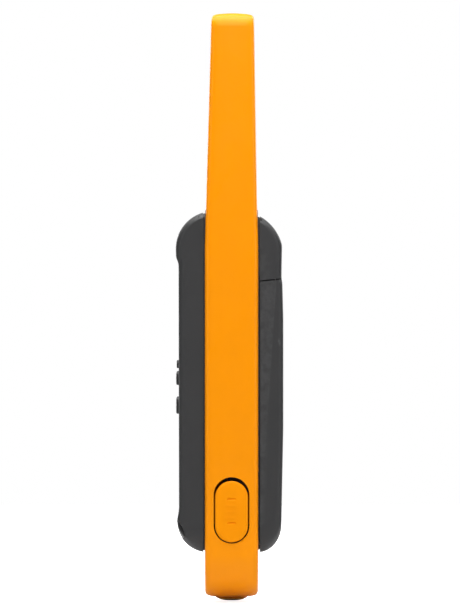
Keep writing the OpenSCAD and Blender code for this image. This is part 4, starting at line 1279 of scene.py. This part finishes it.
# %% Group: moulded grain
def make_moulded_grain():
    tree, given, out = group("moulded grain", {"Grain Size mm": 0.35, "Cloud Size mm": 14.0},
                             "Height", "Clouds", "Grain")
    place_in = object_place(tree)
    fine = per_mm(tree, given["Grain Size mm"])
    cells_in = node(tree, "ShaderNodeTexVoronoi", {"feature": "SMOOTH_F1"}, Vector=place_in, Scale=fine)
    grain = noise(tree, place_in, times(tree, fine, 1.7), 3.0, 0.6)
    clouds = noise(tree, place_in, per_mm(tree, given["Cloud Size mm"]), 4.0, 0.55)
    pits = math_node(tree, "ADD", times(tree, cells_in.outputs["Distance"], 0.5), grain)
    feed(tree, out, Height=math_node(tree, "ADD", pits, times(tree, clouds, 0.8)),
         Clouds=ramp(tree, clouds, 0.3, 0.7), Grain=ramp(tree, grain, 0.3, 0.7))
    return tree


moulded_grain = make_moulded_grain()
print("group:", moulded_grain.name)

# %% [markdown]
# Edges that hands and pockets rub turn a little brighter and smoother. Pointiness finds convex edges from
# the mesh itself, and a noise breaks the line so that it doesn't look drawn.

# %% Group: edge wear
def make_edge_wear():
    tree, given, out = group("edge wear", {"Start": 0.53, "Width": 0.12, "Patch Size mm": 2.5}, "Mask")
    point = node(tree, "ShaderNodeNewGeometry").outputs["Pointiness"]
    patches = noise(tree, object_place(tree), per_mm(tree, given["Patch Size mm"]), 5.0, 0.7)
    edges = ramp(tree, point, given["Start"], math_node(tree, "ADD", given["Start"], given["Width"]))
    feed(tree, out, Mask=times(tree, edges, ramp(tree, patches, 0.35, 0.6)))
    return tree


edge_wear = make_edge_wear()
print("group:", edge_wear.name)

# %% [markdown]
# A little dust settles in small specks where a surface looks up. The mask comes from the
# surface's own upward turn, so it stays with the object in every view. A second mask gives the smears that
# hands leave, which only change the gloss.

# %% Group: dust and handling marks
def make_dust():
    tree, given, out = group("dust", {"Amount": 0.3}, "Mask", "Smears")
    normal = node(tree, "ShaderNodeNewGeometry").outputs["Normal"]
    up = node(tree, "ShaderNodeSeparateXYZ", Vector=normal).outputs["Z"]
    place_in = object_place(tree)
    specks = noise(tree, place_in, 900.0, 6.0, 0.75)
    smears = noise(tree, place_in, 55.0, 3.0, 0.5, 1.4)
    settled = times(tree, ramp(tree, up, 0.2, 0.95), ramp(tree, specks, 0.45, 0.75))
    feed(tree, out, Mask=times(tree, settled, given["Amount"]), Smears=ramp(tree, smears, 0.35, 0.65))
    return tree


dust = make_dust()
print("group:", dust.name)

# %% [markdown]
# ## Plastics and rubbers
#
# One function makes every moulded finish from its colour, grain and wear. The bright band is a satin
# plastic, and the shells are dark with a fine even grain. The values that are the same all over stay on the
# shader's own sockets.

# %% Starting a material
def place_group(tree, which, **values):
    """A shader group inside a material, with its own values; what it puts out."""
    return node(tree, "ShaderNodeGroup", {"node_tree": which}, **values).outputs


def new_material(name):
    material = bpy.data.materials.new(name)
    material.use_nodes = True
    tree = material.node_tree
    return material, tree, tree.nodes["Principled BSDF"]


def raise_surface(tree, shader, height, depth):
    """Bends the light by a height that is depth millimetres deep."""
    bump = node(tree, "ShaderNodeBump", Height=height, Strength=1.0, Distance=depth * MM)
    feed(tree, shader, Normal=bump.outputs["Normal"])


print("material helpers ready")

# %% [markdown]
# The grain's clouds vary the colour, the wear group rubs the edges, and dust lies over both. The grain and
# the smears of hands move the roughness, and the grain's height is the bump.

# %% Moulded finishes
def moulded(name, colour, roughness, grain_mm=0.3, depth=0.01, worn=None, wear=0.5, clouds=0.08, dusty=0.05,
            specular=0.5, coat=0.0, coat_roughness=0.2, dust_colour=(0.45, 0.43, 0.4)):
    """A moulded finish; depth is the grain's bump in millimetres, worn is the colour of rubbed edges."""
    material, tree, shader = new_material(name)
    grain = place_group(tree, moulded_grain, Grain_Size_mm=grain_mm)
    rubbed_at = times(tree, place_group(tree, edge_wear)["Mask"], wear)
    dust_on = place_group(tree, dust, Amount=dusty)
    body = mix_colour(tree, grain["Clouds"], shade(colour, 1 - clouds), shade(colour, 1 + clouds))
    rubbed = mix_colour(tree, rubbed_at, body, shade(worn) if worn else shade(colour, 1.25, 0.01))
    rough = math_node(tree, "ADD", around(tree, grain["Grain"], roughness, 0.04),
                      around(tree, dust_on["Smears"], 0, 0.03), True)
    raise_surface(tree, shader, grain["Height"], depth)
    feed(tree, shader, Base_Color=mix_colour(tree, dust_on["Mask"], rubbed, shade(dust_colour)),
         Roughness=rough, Specular_IOR_Level=specular, Coat_Weight=coat, Coat_Roughness=coat_roughness)
    return material


AMBER, RUBBED_AMBER, AMBER_DUST = (0.96, 0.305, 0.0), (1.0, 0.36, 0.005), (0.9, 0.4, 0.06)
finishes = {
    "band_plastic": moulded("amber satin plastic", AMBER, 0.32, grain_mm=0.4, depth=0.006, worn=RUBBED_AMBER,
                            clouds=0.015, specular=0.16, dust_colour=AMBER_DUST),
    "dark_plastic": moulded("charcoal grained plastic", (0.025, 0.025, 0.026), 0.5, grain_mm=0.42, depth=0.02,
                            worn=(0.09, 0.09, 0.092), clouds=0.06, dusty=0.06),
    "bezel_plastic": moulded("deep amber plastic", (0.66, 0.2, 0.003), 0.3, grain_mm=0.5, depth=0.004,
                             wear=0.4, clouds=0.05, specular=0.3),
    "black_plastic": moulded("black satin plastic", (0.014, 0.014, 0.015), 0.4, depth=0.008,
                             worn=(0.06, 0.06, 0.06), dusty=0.12),
    "white_plastic": moulded("white plastic", (0.78, 0.77, 0.73), 0.4, grain_mm=0.4, depth=0.006,
                             worn=(0.85, 0.84, 0.8), wear=0.3, clouds=0.02, dusty=0.1),
}
print("moulded plastics:", len(finishes))

# %% [markdown]
# The rubbers are softer to the eye than the plastics: rougher, with less mirror in them. The port's cover
# and the jack's cap are amber like the band; the side buttons and the keys are black.

# %% Rubbers
finishes["black_rubber"] = moulded(
    "black rubber", (0.016, 0.016, 0.017), 0.62, depth=0.02, worn=(0.05, 0.05, 0.05), clouds=0.1, dusty=0.2,
    specular=0.4)
finishes["grey_rubber"] = moulded(
    "grey silicone", (0.12, 0.12, 0.13), 0.6, grain_mm=0.4, wear=0.3, dusty=0.1, specular=0.4)
finishes["key_rubber"] = moulded(
    "key rubber", (0.022, 0.022, 0.024), 0.5, depth=0.012, worn=(0.07, 0.07, 0.07), dusty=0.1, specular=0.45)
finishes["band_rubber"] = moulded(
    "amber rubber", (0.94, 0.30, 0.0), 0.5, worn=RUBBED_AMBER, wear=0.4, clouds=0.02, specular=0.08,
    dust_colour=AMBER_DUST)
print("with the rubbers:", len(finishes))

# %% [markdown]
# Four finishes are glossy or coated: the window and the insert in the chin are black gloss, the display
# behind the window is grey-green while it is switched off, the lamp has a yellow phosphor, and the cells
# wear a thin blue film.

# %% Glossy and coated finishes
finishes["black_glass"] = moulded(
    "black gloss", (0.003, 0.003, 0.0035), 0.12, grain_mm=0.6, depth=0.0006, worn=(0.01, 0.01, 0.01),
    wear=0.2, clouds=0.1, dusty=0.08, specular=0.1, coat=0.32, coat_roughness=0.06)
finishes["display_glass"] = moulded(
    "display switched off", (0.032, 0.037, 0.030), 0.12, grain_mm=0.28, depth=0.0005, wear=0.1, clouds=0.12,
    coat=1.0, coat_roughness=0.04)
finishes["phosphor"] = moulded(
    "lamp phosphor", (0.85, 0.72, 0.22), 0.35, grain_mm=0.2, wear=0.1, clouds=0.1, dusty=0.02)
finishes["cell_wrap"] = moulded(
    "cell sleeve film", (0.022, 0.045, 0.085), 0.22, grain_mm=1.2, depth=0.006, worn=(0.1, 0.14, 0.2),
    wear=0.3, clouds=0.12, coat=0.4, coat_roughness=0.1)
print("with the gloss:", len(finishes))

# %% [markdown]
# ## Clear plastic
#
# The torch lens and the status light are pressed from clear plastic, with flow lines that bend the light
# slightly. They keep one plain value of transmission; only the roughness and the bump change over the
# surface. The torch's lens is tinted amber, and the status light is frosted, so that nothing behind shows.

# %% Clear finish
def clear_plastic(name, tint, roughness, clearness=0.9):
    material, tree, shader = new_material(name)
    grain = place_group(tree, moulded_grain, Grain_Size_mm=1.1, Cloud_Size_mm=5.0)
    smears = place_group(tree, dust, Amount=0.1)["Smears"]
    rough = ramp(tree, smears, 0, 1, roughness * 0.5, roughness * 1.6)
    raise_surface(tree, shader, grain["Height"], 0.004)
    feed(tree, shader, Base_Color=mix_colour(tree, grain["Clouds"], shade(tint, 0.97), shade(tint)),
         Roughness=rough, Transmission_Weight=clearness, IOR=1.49)
    return material


finishes["clear_lens"] = clear_plastic("clear pressed plastic", (0.93, 0.95, 0.96), 0.06)
amber_clear = clear_plastic("amber clear plastic", (0.97, 0.5, 0.07), 0.08)
frosted = clear_plastic("frosted plastic", (0.62, 0.64, 0.64), 0.35, 0.3)
print("clear:", finishes["clear_lens"].name, "|", amber_clear.name, "|", frosted.name)

# %% [markdown]
# ## Metals
#
# Sheet steel carries the lines of its rolling, copper wire the lines of its lay. A noise that is stretched
# along one axis gives them, and the same lines move the colour, the roughness and the height together.

# %% Group: drawn lines, and the metals
def make_drawn_lines():
    tree, given, out = group("drawn lines", {"Fine mm": 0.12, "Stretch": 30.0}, "Lines", "Stains")
    place_in = object_place(tree)
    scale = per_mm(tree, given["Fine mm"])
    along = math_node(tree, "DIVIDE", scale, given["Stretch"])
    size = node(tree, "ShaderNodeCombineXYZ", X=along, Y=scale, Z=scale).outputs[0]
    stretched = node(tree, "ShaderNodeVectorMath", {"operation": "MULTIPLY"}, i0=place_in, i1=size).outputs[0]
    lines = noise(tree, stretched, 1.0, 4.0, 0.65)
    stains = noise(tree, place_in, 220.0, 5.0, 0.6)
    feed(tree, out, Lines=ramp(tree, lines, 0.3, 0.7), Stains=ramp(tree, stains, 0.4, 0.7))
    return tree


drawn_lines = make_drawn_lines()


def metal(name, colour, roughness, fine=0.12, stretch=30.0, depth=0.003, stain=0.25, metallic=1.0):
    material, tree, shader = new_material(name)
    drawn = place_group(tree, drawn_lines, Fine_mm=fine, Stretch=stretch)
    lines, stained_at = drawn["Lines"], times(tree, drawn["Stains"], 0.7)
    rubbed_at = times(tree, place_group(tree, edge_wear)["Mask"], 0.5)
    bright = shade(colour, 1.08)
    body = mix_colour(tree, lines, shade(colour), bright)
    stained = mix_colour(tree, stained_at, body, shade(colour, 1 - stain))
    rough = math_node(tree, "ADD", around(tree, lines, roughness, 0.05),
                      ramp(tree, drawn["Stains"], 0, 1, 0, 0.1), True)
    raise_surface(tree, shader, lines, depth)
    feed(tree, shader, Base_Color=mix_colour(tree, rubbed_at, stained, bright), Roughness=rough,
         Metallic=metallic)
    return material


finishes["bright_metal"] = metal("plated steel", (0.62, 0.62, 0.63), 0.28)
finishes["copper"] = metal("enamelled copper wire", (0.72, 0.32, 0.14), 0.3, fine=0.2, stretch=8.0)
finishes["gold_plate"] = metal("gold plate", (0.86, 0.6, 0.24), 0.25, fine=0.15, stretch=12.0)
finishes["ferrite"] = metal("ground ferrite", (0.07, 0.07, 0.075), 0.5, fine=0.3, stretch=4.0, depth=0.01,
                            stain=0.3, metallic=0.6)
print("metals: 4")

# %% [markdown]
# ## Cloth, paper and circuit board
#
# The grille's cloth is a plain weave: two sine waves across each other, one over and one under. The cone is
# pressed paper, which the same weave gives when its threads are four times as wide and the colours close.

# %% Group: plain weave, and the cloth
def make_plain_weave():
    tree, given, out = group("plain weave", {"Thread mm": 0.32}, "Height", "Threads")
    turn = math_node(tree, "DIVIDE", math.pi * 1000.0, given["Thread mm"])
    split = node(tree, "ShaderNodeSeparateXYZ", Vector=object_place(tree)).outputs
    across, along = [math_node(tree, "SINE", times(tree, split[axis], turn)) for axis in ("X", "Z")]
    over = times(tree, across, along)
    ridges = math_node(tree, "ADD", math_node(tree, "ABSOLUTE", across), math_node(tree, "ABSOLUTE", along))
    height = math_node(tree, "ADD", times(tree, over, 0.5), ridges)
    feed(tree, out, Height=height, Threads=ramp(tree, over, -1, 1))
    return tree


plain_weave = make_plain_weave()


def textile(name, dark, pale, roughness, thread, depth, sheen):
    material, tree, shader = new_material(name)
    weave = place_group(tree, plain_weave, Thread_mm=thread)
    grain = place_group(tree, moulded_grain, Grain_Size_mm=0.15, Cloud_Size_mm=6.0)
    threads = mix_colour(tree, weave["Threads"], shade(dark), shade(pale))
    raise_surface(tree, shader, weave["Height"], depth)
    feed(tree, shader, Base_Color=mix_colour(tree, times(tree, grain["Clouds"], 0.3), threads, shade(dark)),
         Roughness=around(tree, grain["Grain"], roughness, 0.06), Sheen_Weight=sheen)
    return material


finishes["speaker_cloth"] = textile("grille cloth", (0.004, 0.004, 0.004), (0.02, 0.02, 0.021), 0.8,
                                    thread=0.32, depth=0.06, sheen=0.2)
finishes["cone_paper"] = textile("cone paper", (0.03, 0.028, 0.026), (0.06, 0.056, 0.05), 0.85,
                                 thread=1.3, depth=0.02, sheen=0.1)
print("textiles: 2")

# %% [markdown]
# The two boards carry copper under a green mask, with bare gold pads between. They show only when the radio
# is taken apart, so a pattern stands for the tracks: the borders of cells for the lines, and small squares
# at the cells' middles for the pads, which are also the only metallic places.

# %% Group: board tracks, and the board
def make_board_tracks():
    tree, given, out = group("board tracks", {"Pitch mm": 2.2}, "Tracks", "Pads")
    place_in, scale = object_place(tree), per_mm(tree, given["Pitch mm"])
    squares, dots = [node(tree, "ShaderNodeTexVoronoi", settings, Vector=place_in, Scale=scale,
                          Randomness=0.35).outputs["Distance"]
                     for settings in ({"feature": "DISTANCE_TO_EDGE"}, {"distance": "CHEBYCHEV"})]
    feed(tree, out, Tracks=ramp(tree, squares, 0.06, 0.1, 1, 0), Pads=ramp(tree, dots, 0.12, 0.16, 1, 0))
    return tree


board_tracks = make_board_tracks()


def circuit_board():
    material, tree, shader = new_material("green circuit board")
    board = place_group(tree, board_tracks)
    grain = place_group(tree, moulded_grain, Grain_Size_mm=0.5)
    ground = mix_colour(tree, grain["Clouds"], (0.008, 0.07, 0.03, 1), (0.012, 0.09, 0.04, 1))
    masked = mix_colour(tree, board["Tracks"], ground, (0.02, 0.16, 0.07, 1))
    raise_surface(tree, shader, math_node(tree, "ADD", board["Tracks"], board["Pads"]), 0.03)
    feed(tree, shader, Base_Color=mix_colour(tree, board["Pads"], masked, (0.72, 0.6, 0.35, 1)),
         Metallic=board["Pads"], Roughness=around(tree, grain["Grain"], 0.33, 0.07))
    return material


finishes["circuit_board"] = circuit_board()
wanted = {m["slot"] for m in frame["record"]["materials"]}
print("finishes:", len(finishes), "slots without one:", sorted(wanted - set(finishes)))

# %% [markdown]
# # Putting it together
#
# ## What each piece stands for
#
# Each fine piece rides the body of the solid it stands for, takes over that solid's place in the picture,
# and keeps its finish. The straps are joined to no body and stay where they are.

# %% Fine pieces in place of solids
def stands_for(piece, name, body, finish, *solids, look=None):
    """Names a piece, gives it a finish (or a look of its own in the same slot), and joins it to its body."""
    piece.name = name
    piece.data.name = name
    piece.data.materials.clear()
    piece.data.materials.append(look or finishes[finish])
    if solids:
        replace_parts(piece, *solids)
    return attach(piece, body) if body else piece


stands_for(band, "bright_band", "radio", "band_plastic", "frame_band")
stands_for(front, "front_shell_skin", "radio", "dark_plastic", "front_shell")
stands_for(insert, "chin_insert_bar", "radio", "black_glass", "chin_insert")
stands_for(upper, "rear_shell_skin", "radio", "dark_plastic", "rear_shell")
stands_for(door, "battery_door_skin", "battery_door", "dark_plastic", "battery_door")
stands_for(torch_lens, "torch_lens_clear", "radio", "clear_lens", "torch_lens", look=amber_clear)
stands_for(status, "status_light", "radio", "clear_lens", "status_lens", look=frosted)
stands_for(display_window, "display_window", "radio", "black_glass", "display_lens")
stands_for(cloth, "speaker_cloth_disc", "radio", "speaker_cloth", "speaker_mesh")
stands_for(jack_cap, "jack_cap_disc", "jack_cap", "band_rubber", "jack_cap")
stands_for(port_cover, "port_cover", "usb_cover", "band_rubber", "usb_cover")
stands_for(talk, "ptt_button_cap", "ptt_button", "black_rubber", "ptt_button")
stands_for(lamp_button, "torch_button_cap", "torch_button", "black_rubber", "torch_button")
stands_for(springs, "battery_springs_wound", "radio", "bright_metal", "battery_springs")
stands_for(screws, "housing_screws_crossed", "radio", "bright_metal", "housing_screws")
for k in KEYS:
    stands_for(key_caps[k], k + "_cap", k, "key_rubber", k)
    stands_for(key_marks[k], k + "_mark", k, "white_plastic")
for n, (sleeve, can, washer) in cells.items():
    stands_for(sleeve, f"battery_cell_{n}_sleeve", "radio", "cell_wrap", f"battery_cell_{n}")
    stands_for(can, f"battery_cell_{n}_can", "radio", "bright_metal")
    stands_for(washer, f"battery_cell_{n}_washer", "radio", "white_plastic")
stands_for(cover_strap, "port_cover_strap", None, "band_rubber", "usb_tether")
stands_for(cap_strap, "jack_cap_strap", None, "band_rubber", "jack_tether")
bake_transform(cover_strap)
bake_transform(cap_strap)

# %% [markdown]
# The display's field is the second finish of its window: the faces inside the field's outline take it.

# %% The display's field
display_window.data.materials.append(finishes["display_glass"])
smooth(display_window, 20)
FIELD_HALF_X, FIELD_HALF_Z, FIELD_Y = 14 * MM, 9 * MM, -16.5 * MM
for face in display_window.data.polygons:
    x, y, z = face.center
    if abs(x) < FIELD_HALF_X and abs(z - DISPLAY[1] * MM) < FIELD_HALF_Z and y < FIELD_Y:
        face.material_index = 1
print("field faces:", sum(f.material_index for f in display_window.data.polygons))

# %% [markdown]
# ## Solids that keep their own form
#
# Parts inside the radio, and plain parts such as the chin housing, are right as solids. They keep their
# place and mesh and get a finish, a weld of their seams and a broken edge, all as modifiers. Parts that are
# round all over have no edge to break, and only get the weld.

# %% Finishes for the remaining solids
slot_of = {s["node"]: s["material_slot"] for s in frame["record"]["subparts"]}
covered = {name for o in bpy.data.objects for name in o.get("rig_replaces", [])}
kept_solids = {name: o for name, o in nodes.items() if name not in covered}
BROKEN_EDGE = {"antenna_radome": 0.25, "chin_housing": 0.3, "torch_bezel": 0.1, "battery_latch": 0.25,
               "shield_can": 0.15}
ROUND_PARTS = {"torch_reflector", "voice_coil", "speaker_cone", "speaker_frame", "speaker_magnet",
               "microphone", "antenna_former", "antenna_coil", "keypad_membrane", "key_domes", "jack_socket"}
for name, solid in kept_solids.items():
    if solid.data.materials:
        solid.material_slots[0].link = "OBJECT"
        solid.material_slots[0].material = finishes[slot_of[name]]
    else:
        solid.data.materials.append(finishes[slot_of[name]])
    solid.modifiers.new("welded seams", "WELD").merge_threshold = 0.002 * MM
    if name not in ROUND_PARTS:
        soften(solid, BROKEN_EDGE.get(name, 0.06), 2, 32)
    keep_flat(solid)
print("kept solids:", len(kept_solids))

# %% [markdown]
# # Stage, light and camera
#
# The radio stands on pale paper in front of white. The camera sees both as white; the radio mirrors a
# greyer paper, which is paler close to its foot, so that the lower edges get a little light from below.

# %% Floor
def stage_piece(name, points, material):
    piece = new_piece(name, np.array(points) * 1000, [[0, 1, 2, 3]])
    piece.data.materials.append(material)
    piece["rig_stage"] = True
    return piece


def floor_material():
    """White where the camera sees it, greyer where the radio mirrors it, with a faint mottle."""
    material, tree, shader = new_material("pale paper floor")
    seen = node(tree, "ShaderNodeLightPath").outputs["Is Camera Ray"]
    place_in = object_place(tree)
    mottle = ramp(tree, noise(tree, place_in, 40.0, 3.0), 0.3, 0.7)
    away = node(tree, "ShaderNodeVectorMath", {"operation": "LENGTH"}, i0=place_in).outputs["Value"]
    paper = mix_colour(tree, mottle, shade([0.37] * 3), shade([0.43] * 3))
    paper = mix_colour(tree, ramp(tree, away, 0.03, 0.07), shade([0.68] * 3), paper)
    feed(tree, shader, Base_Color=mix_colour(tree, seen, paper, shade([0.9] * 3)), Roughness=0.9,
         Emission_Color=shade([1] * 3), Emission_Strength=times(tree, seen, 0.84))
    return material


FLOOR, FLOOR_Z = 1.6, -0.0004
corners = [(x * FLOOR, y * FLOOR, FLOOR_Z) for x, y in ((-1, -1), (1, -1), (1, 1), (-1, 1))]
floor = stage_piece("floor", corners, floor_material())
print("floor:", floor.name)

# %% [markdown]
# Two soft lights hang overhead, one above the radio and one to the antenna's side; together they turn the
# two shoulders pale. Two low lights stand well off the axis that the camera looks along, so that the bright
# band doesn't mirror them and keeps its full colour. Two far lights stand behind the radio as the camera
# sees it, and light the other side.

# %% Lights
def soft_light(name, place_at, aim, width, height, watts):
    data = bpy.data.lights.new(name, "AREA")
    data.shape, data.size, data.size_y, data.energy = "RECTANGLE", width, height, watts
    lamp = bpy.data.objects.new(name, data)
    bpy.context.scene.collection.objects.link(lamp)
    lamp.location = place_at
    lamp.rotation_mode = "QUATERNION"
    lamp.rotation_quaternion = (Vector(aim) - Vector(place_at)).to_track_quat("-Z", "Y")
    return lamp


MIDDLE, SHOULDERS = (0, 0, 0.095), (0, 0, 0.15)
soft_light("overhead", (0.42, 0, 0.6), SHOULDERS, 0.3, 0.8, 3.2)
soft_light("top", (0.0, 0, 0.7), MIDDLE, 0.5, 0.9, 7)
soft_light("front side", (0.75, -0.95, 0.3), MIDDLE, 0.3, 0.7, 1.6)
soft_light("rear side", (0.75, 0.95, 0.3), MIDDLE, 0.3, 0.7, 2.6)
soft_light("far side", (-0.9, -0.5, 0.5), MIDDLE, 0.5, 0.9, 6)
soft_light("far back", (-0.9, 0.7, 0.5), MIDDLE, 0.5, 0.9, 6)


def pale_world():
    """White behind the radio for the camera; for everything else a grey room, paler above than below."""
    world = bpy.data.worlds.new("pale studio")
    world.use_nodes = True
    tree = world.node_tree
    seen = node(tree, "ShaderNodeLightPath").outputs["Is Camera Ray"]
    direction = node(tree, "ShaderNodeTexCoord").outputs["Generated"]
    up = node(tree, "ShaderNodeSeparateXYZ", Vector=direction).outputs["Z"]
    room = mix_colour(tree, ramp(tree, up, 0.0, 0.9), shade([0.02] * 3), shade([0.24, 0.24, 0.25]))
    feed(tree, tree.nodes["Background"], Color=mix_colour(tree, seen, room, shade([1] * 3)), Strength=1.0)
    return world


scene = bpy.context.scene
scene.world = pale_world()
scene.view_settings.view_transform = "Standard"
print("lights:", len(bpy.data.lights))

# %% [markdown]
# The photograph looks straight at the antenna's side, along -X, from far away. The aim sets the middle of
# the picture and the distance sets its scale; the lens is long, so that the near and far sides agree.

# %% Camera and image points
IMAGE_W, IMAGE_H = 460, 613
LENS, SENSOR = 600, 36
CAM_X, CAM_Y, CAM_Z = 3.3194, -0.0005, 0.0954
camera_data = bpy.data.cameras.new("camera")
camera_data.lens, camera_data.sensor_width, camera_data.sensor_fit = LENS, SENSOR, "AUTO"
camera_data.clip_start, camera_data.clip_end = 0.1, 20
camera = bpy.data.objects.new("camera", camera_data)
scene.collection.objects.link(camera)
camera.location = (CAM_X, CAM_Y, CAM_Z)
camera.rotation_euler = (math.radians(90), 0, math.radians(90))
scene.camera = camera
bpy.context.view_layer.update()
IN_PIXELS = LENS / SENSOR * max(IMAGE_W, IMAGE_H)


def ray_through(x, y):
    """The camera's place and the direction in which an image point lies."""
    away = Vector((x - IMAGE_W / 2, IMAGE_H / 2 - y, -IN_PIXELS))
    return camera.matrix_world.translation.copy(), (camera.matrix_world.to_3x3() @ away).normalized()


# The object's edges: which pieces, which side of the picture, and where the photograph shows it.
EDGE_POINTS = {
    "object left": (None, "left", 176.0), "object right": (None, "right", 283.0),
    "object top": (None, "top", 12.8), "object bottom": (None, "bottom", 600.2),
    "band left": (["bright_band"], "left", 205.0), "band right": (["bright_band"], "right", 258.0),
    "cover top": (["port_cover"], "top", 480.0), "cover left": (["port_cover"], "left", 215.3),
    "cover right": (["port_cover"], "right", 247.6), "front shell top": (["front_shell_skin"], "top", 211.0),
    "rear shell foot": (["battery_door_skin"], "bottom", 552.2)}
FEATURE_POINTS = {"cover grip": (231.2, 512.0)}
print("image points:", len(EDGE_POINTS) + len(FEATURE_POINTS))

# %% [markdown]
# One function puts what is added to a surface in view: a ray from the camera through the image point finds
# the place on the surface, and the surface's own slope turns the piece. The generic grip on the port's
# cover, three low bars, is placed by it.

# %% Place a piece by the image
def surface_of(piece):
    graph = bpy.context.evaluated_depsgraph_get()
    work = bmesh.new()
    work.from_object(piece, graph)
    work.transform(piece.matrix_world)
    tree = BVHTree.FromBMesh(work)
    work.free()
    return tree


def place_by_image(carrier, x, y):
    """(place, normal) on the carrier where the ray through an image point meets it, or passes nearest."""
    start, along = ray_through(x, y)
    tree = surface_of(carrier)
    place_at, normal, _, _ = tree.ray_cast(start, along)
    if place_at is None:
        near = start + along * (carrier.matrix_world.translation - start).length
        place_at, normal, _, _ = tree.find_nearest(near)
    return place_at, normal


GRIP_X, GRIP_Y = FEATURE_POINTS["cover grip"]
bpy.context.view_layer.update()
grip_at, grip_normal = place_by_image(port_cover, GRIP_X, GRIP_Y)
grip_steps = [(0, -0.3), (0, 0.06), (-0.1, 0.1)]
grip = smooth(join("port_cover_grip", [across_pill(1.9 * k, 4.4, 0.7, grip_steps) for k in (-1, 0, 1)]), 40)
grip.rotation_mode = "QUATERNION"
grip.rotation_quaternion = grip_normal.to_track_quat("X", "Z")
grip.location = grip_at
bpy.context.view_layer.update()
stands_for(grip, "port_cover_grip", "usb_cover", "band_rubber")
print("grip at mm:", [round(c * 1000, 2) for c in grip_at])

# %% [markdown]
# Last, the script measures where each edge and feature really shows, by the vertices that the camera can
# see, and prints how far that is from its image point.

# %% What the camera sees
MOST_TRIED, HIT_SLACK = 4000, 0.0004


def shows(point, graph):
    start = camera.matrix_world.translation
    along = Vector(point) - start
    hit, at, _, _, _, _ = scene.ray_cast(graph, start, along.normalized(), distance=along.length + 0.01)
    return not hit or (at - start).length > along.length - HIT_SLACK


def seen_points(names, graph):
    found = []
    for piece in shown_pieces():
        if names is None or piece.name in names:
            made = piece.evaluated_get(graph)
            world = np.array(piece.matrix_world)
            co = np.empty(len(made.data.vertices) * 3)
            made.data.vertices.foreach_get("co", co)
            found.append(co.reshape(-1, 3) @ world[:3, :3].T + world[:3, 3])
    return np.vstack(found)


def image_of(points):
    back = np.array(camera.matrix_world.inverted())
    p = points @ back[:3, :3].T + back[:3, 3]
    per = IN_PIXELS / -p[:, 2]
    return np.column_stack([IMAGE_W / 2 + p[:, 0] * per, IMAGE_H / 2 - p[:, 1] * per])


def edge_place(names, side, graph):
    """The outermost image coordinate on one side among the vertices that show."""
    points = seen_points(names, graph)
    flat = image_of(points)
    k, sign = {"left": (0, 1), "right": (0, -1), "top": (1, 1), "bottom": (1, -1)}[side]
    for i in np.argsort(sign * flat[:, k])[:MOST_TRIED]:
        if shows(points[i], graph):
            return float(flat[i, k])
    return None


# %% [markdown]
# The edges come first, then the grip by the middle of its box. The differences are printed in pixels, so
# that the next change to a size or to the camera can be judged by numbers.

# %% Measure the image points
graph = bpy.context.evaluated_depsgraph_get()
measured = {}
for name, (pieces, side, value) in EDGE_POINTS.items():
    found = edge_place(pieces, side, graph)
    off = None if found is None else round(found - value, 2)
    measured[name] = {"x": off, "y": None} if side in ("left", "right") else {"x": None, "y": off}
for name, (x, y) in FEATURE_POINTS.items():
    flat = image_of(seen_points(["port_cover_grip"], graph))
    middle = (flat.min(axis=0) + flat.max(axis=0)) / 2
    measured[name] = {"x": round(float(middle[0]) - x, 2), "y": round(float(middle[1]) - y, 2)}
for name, off in measured.items():
    print("point:", name, off)
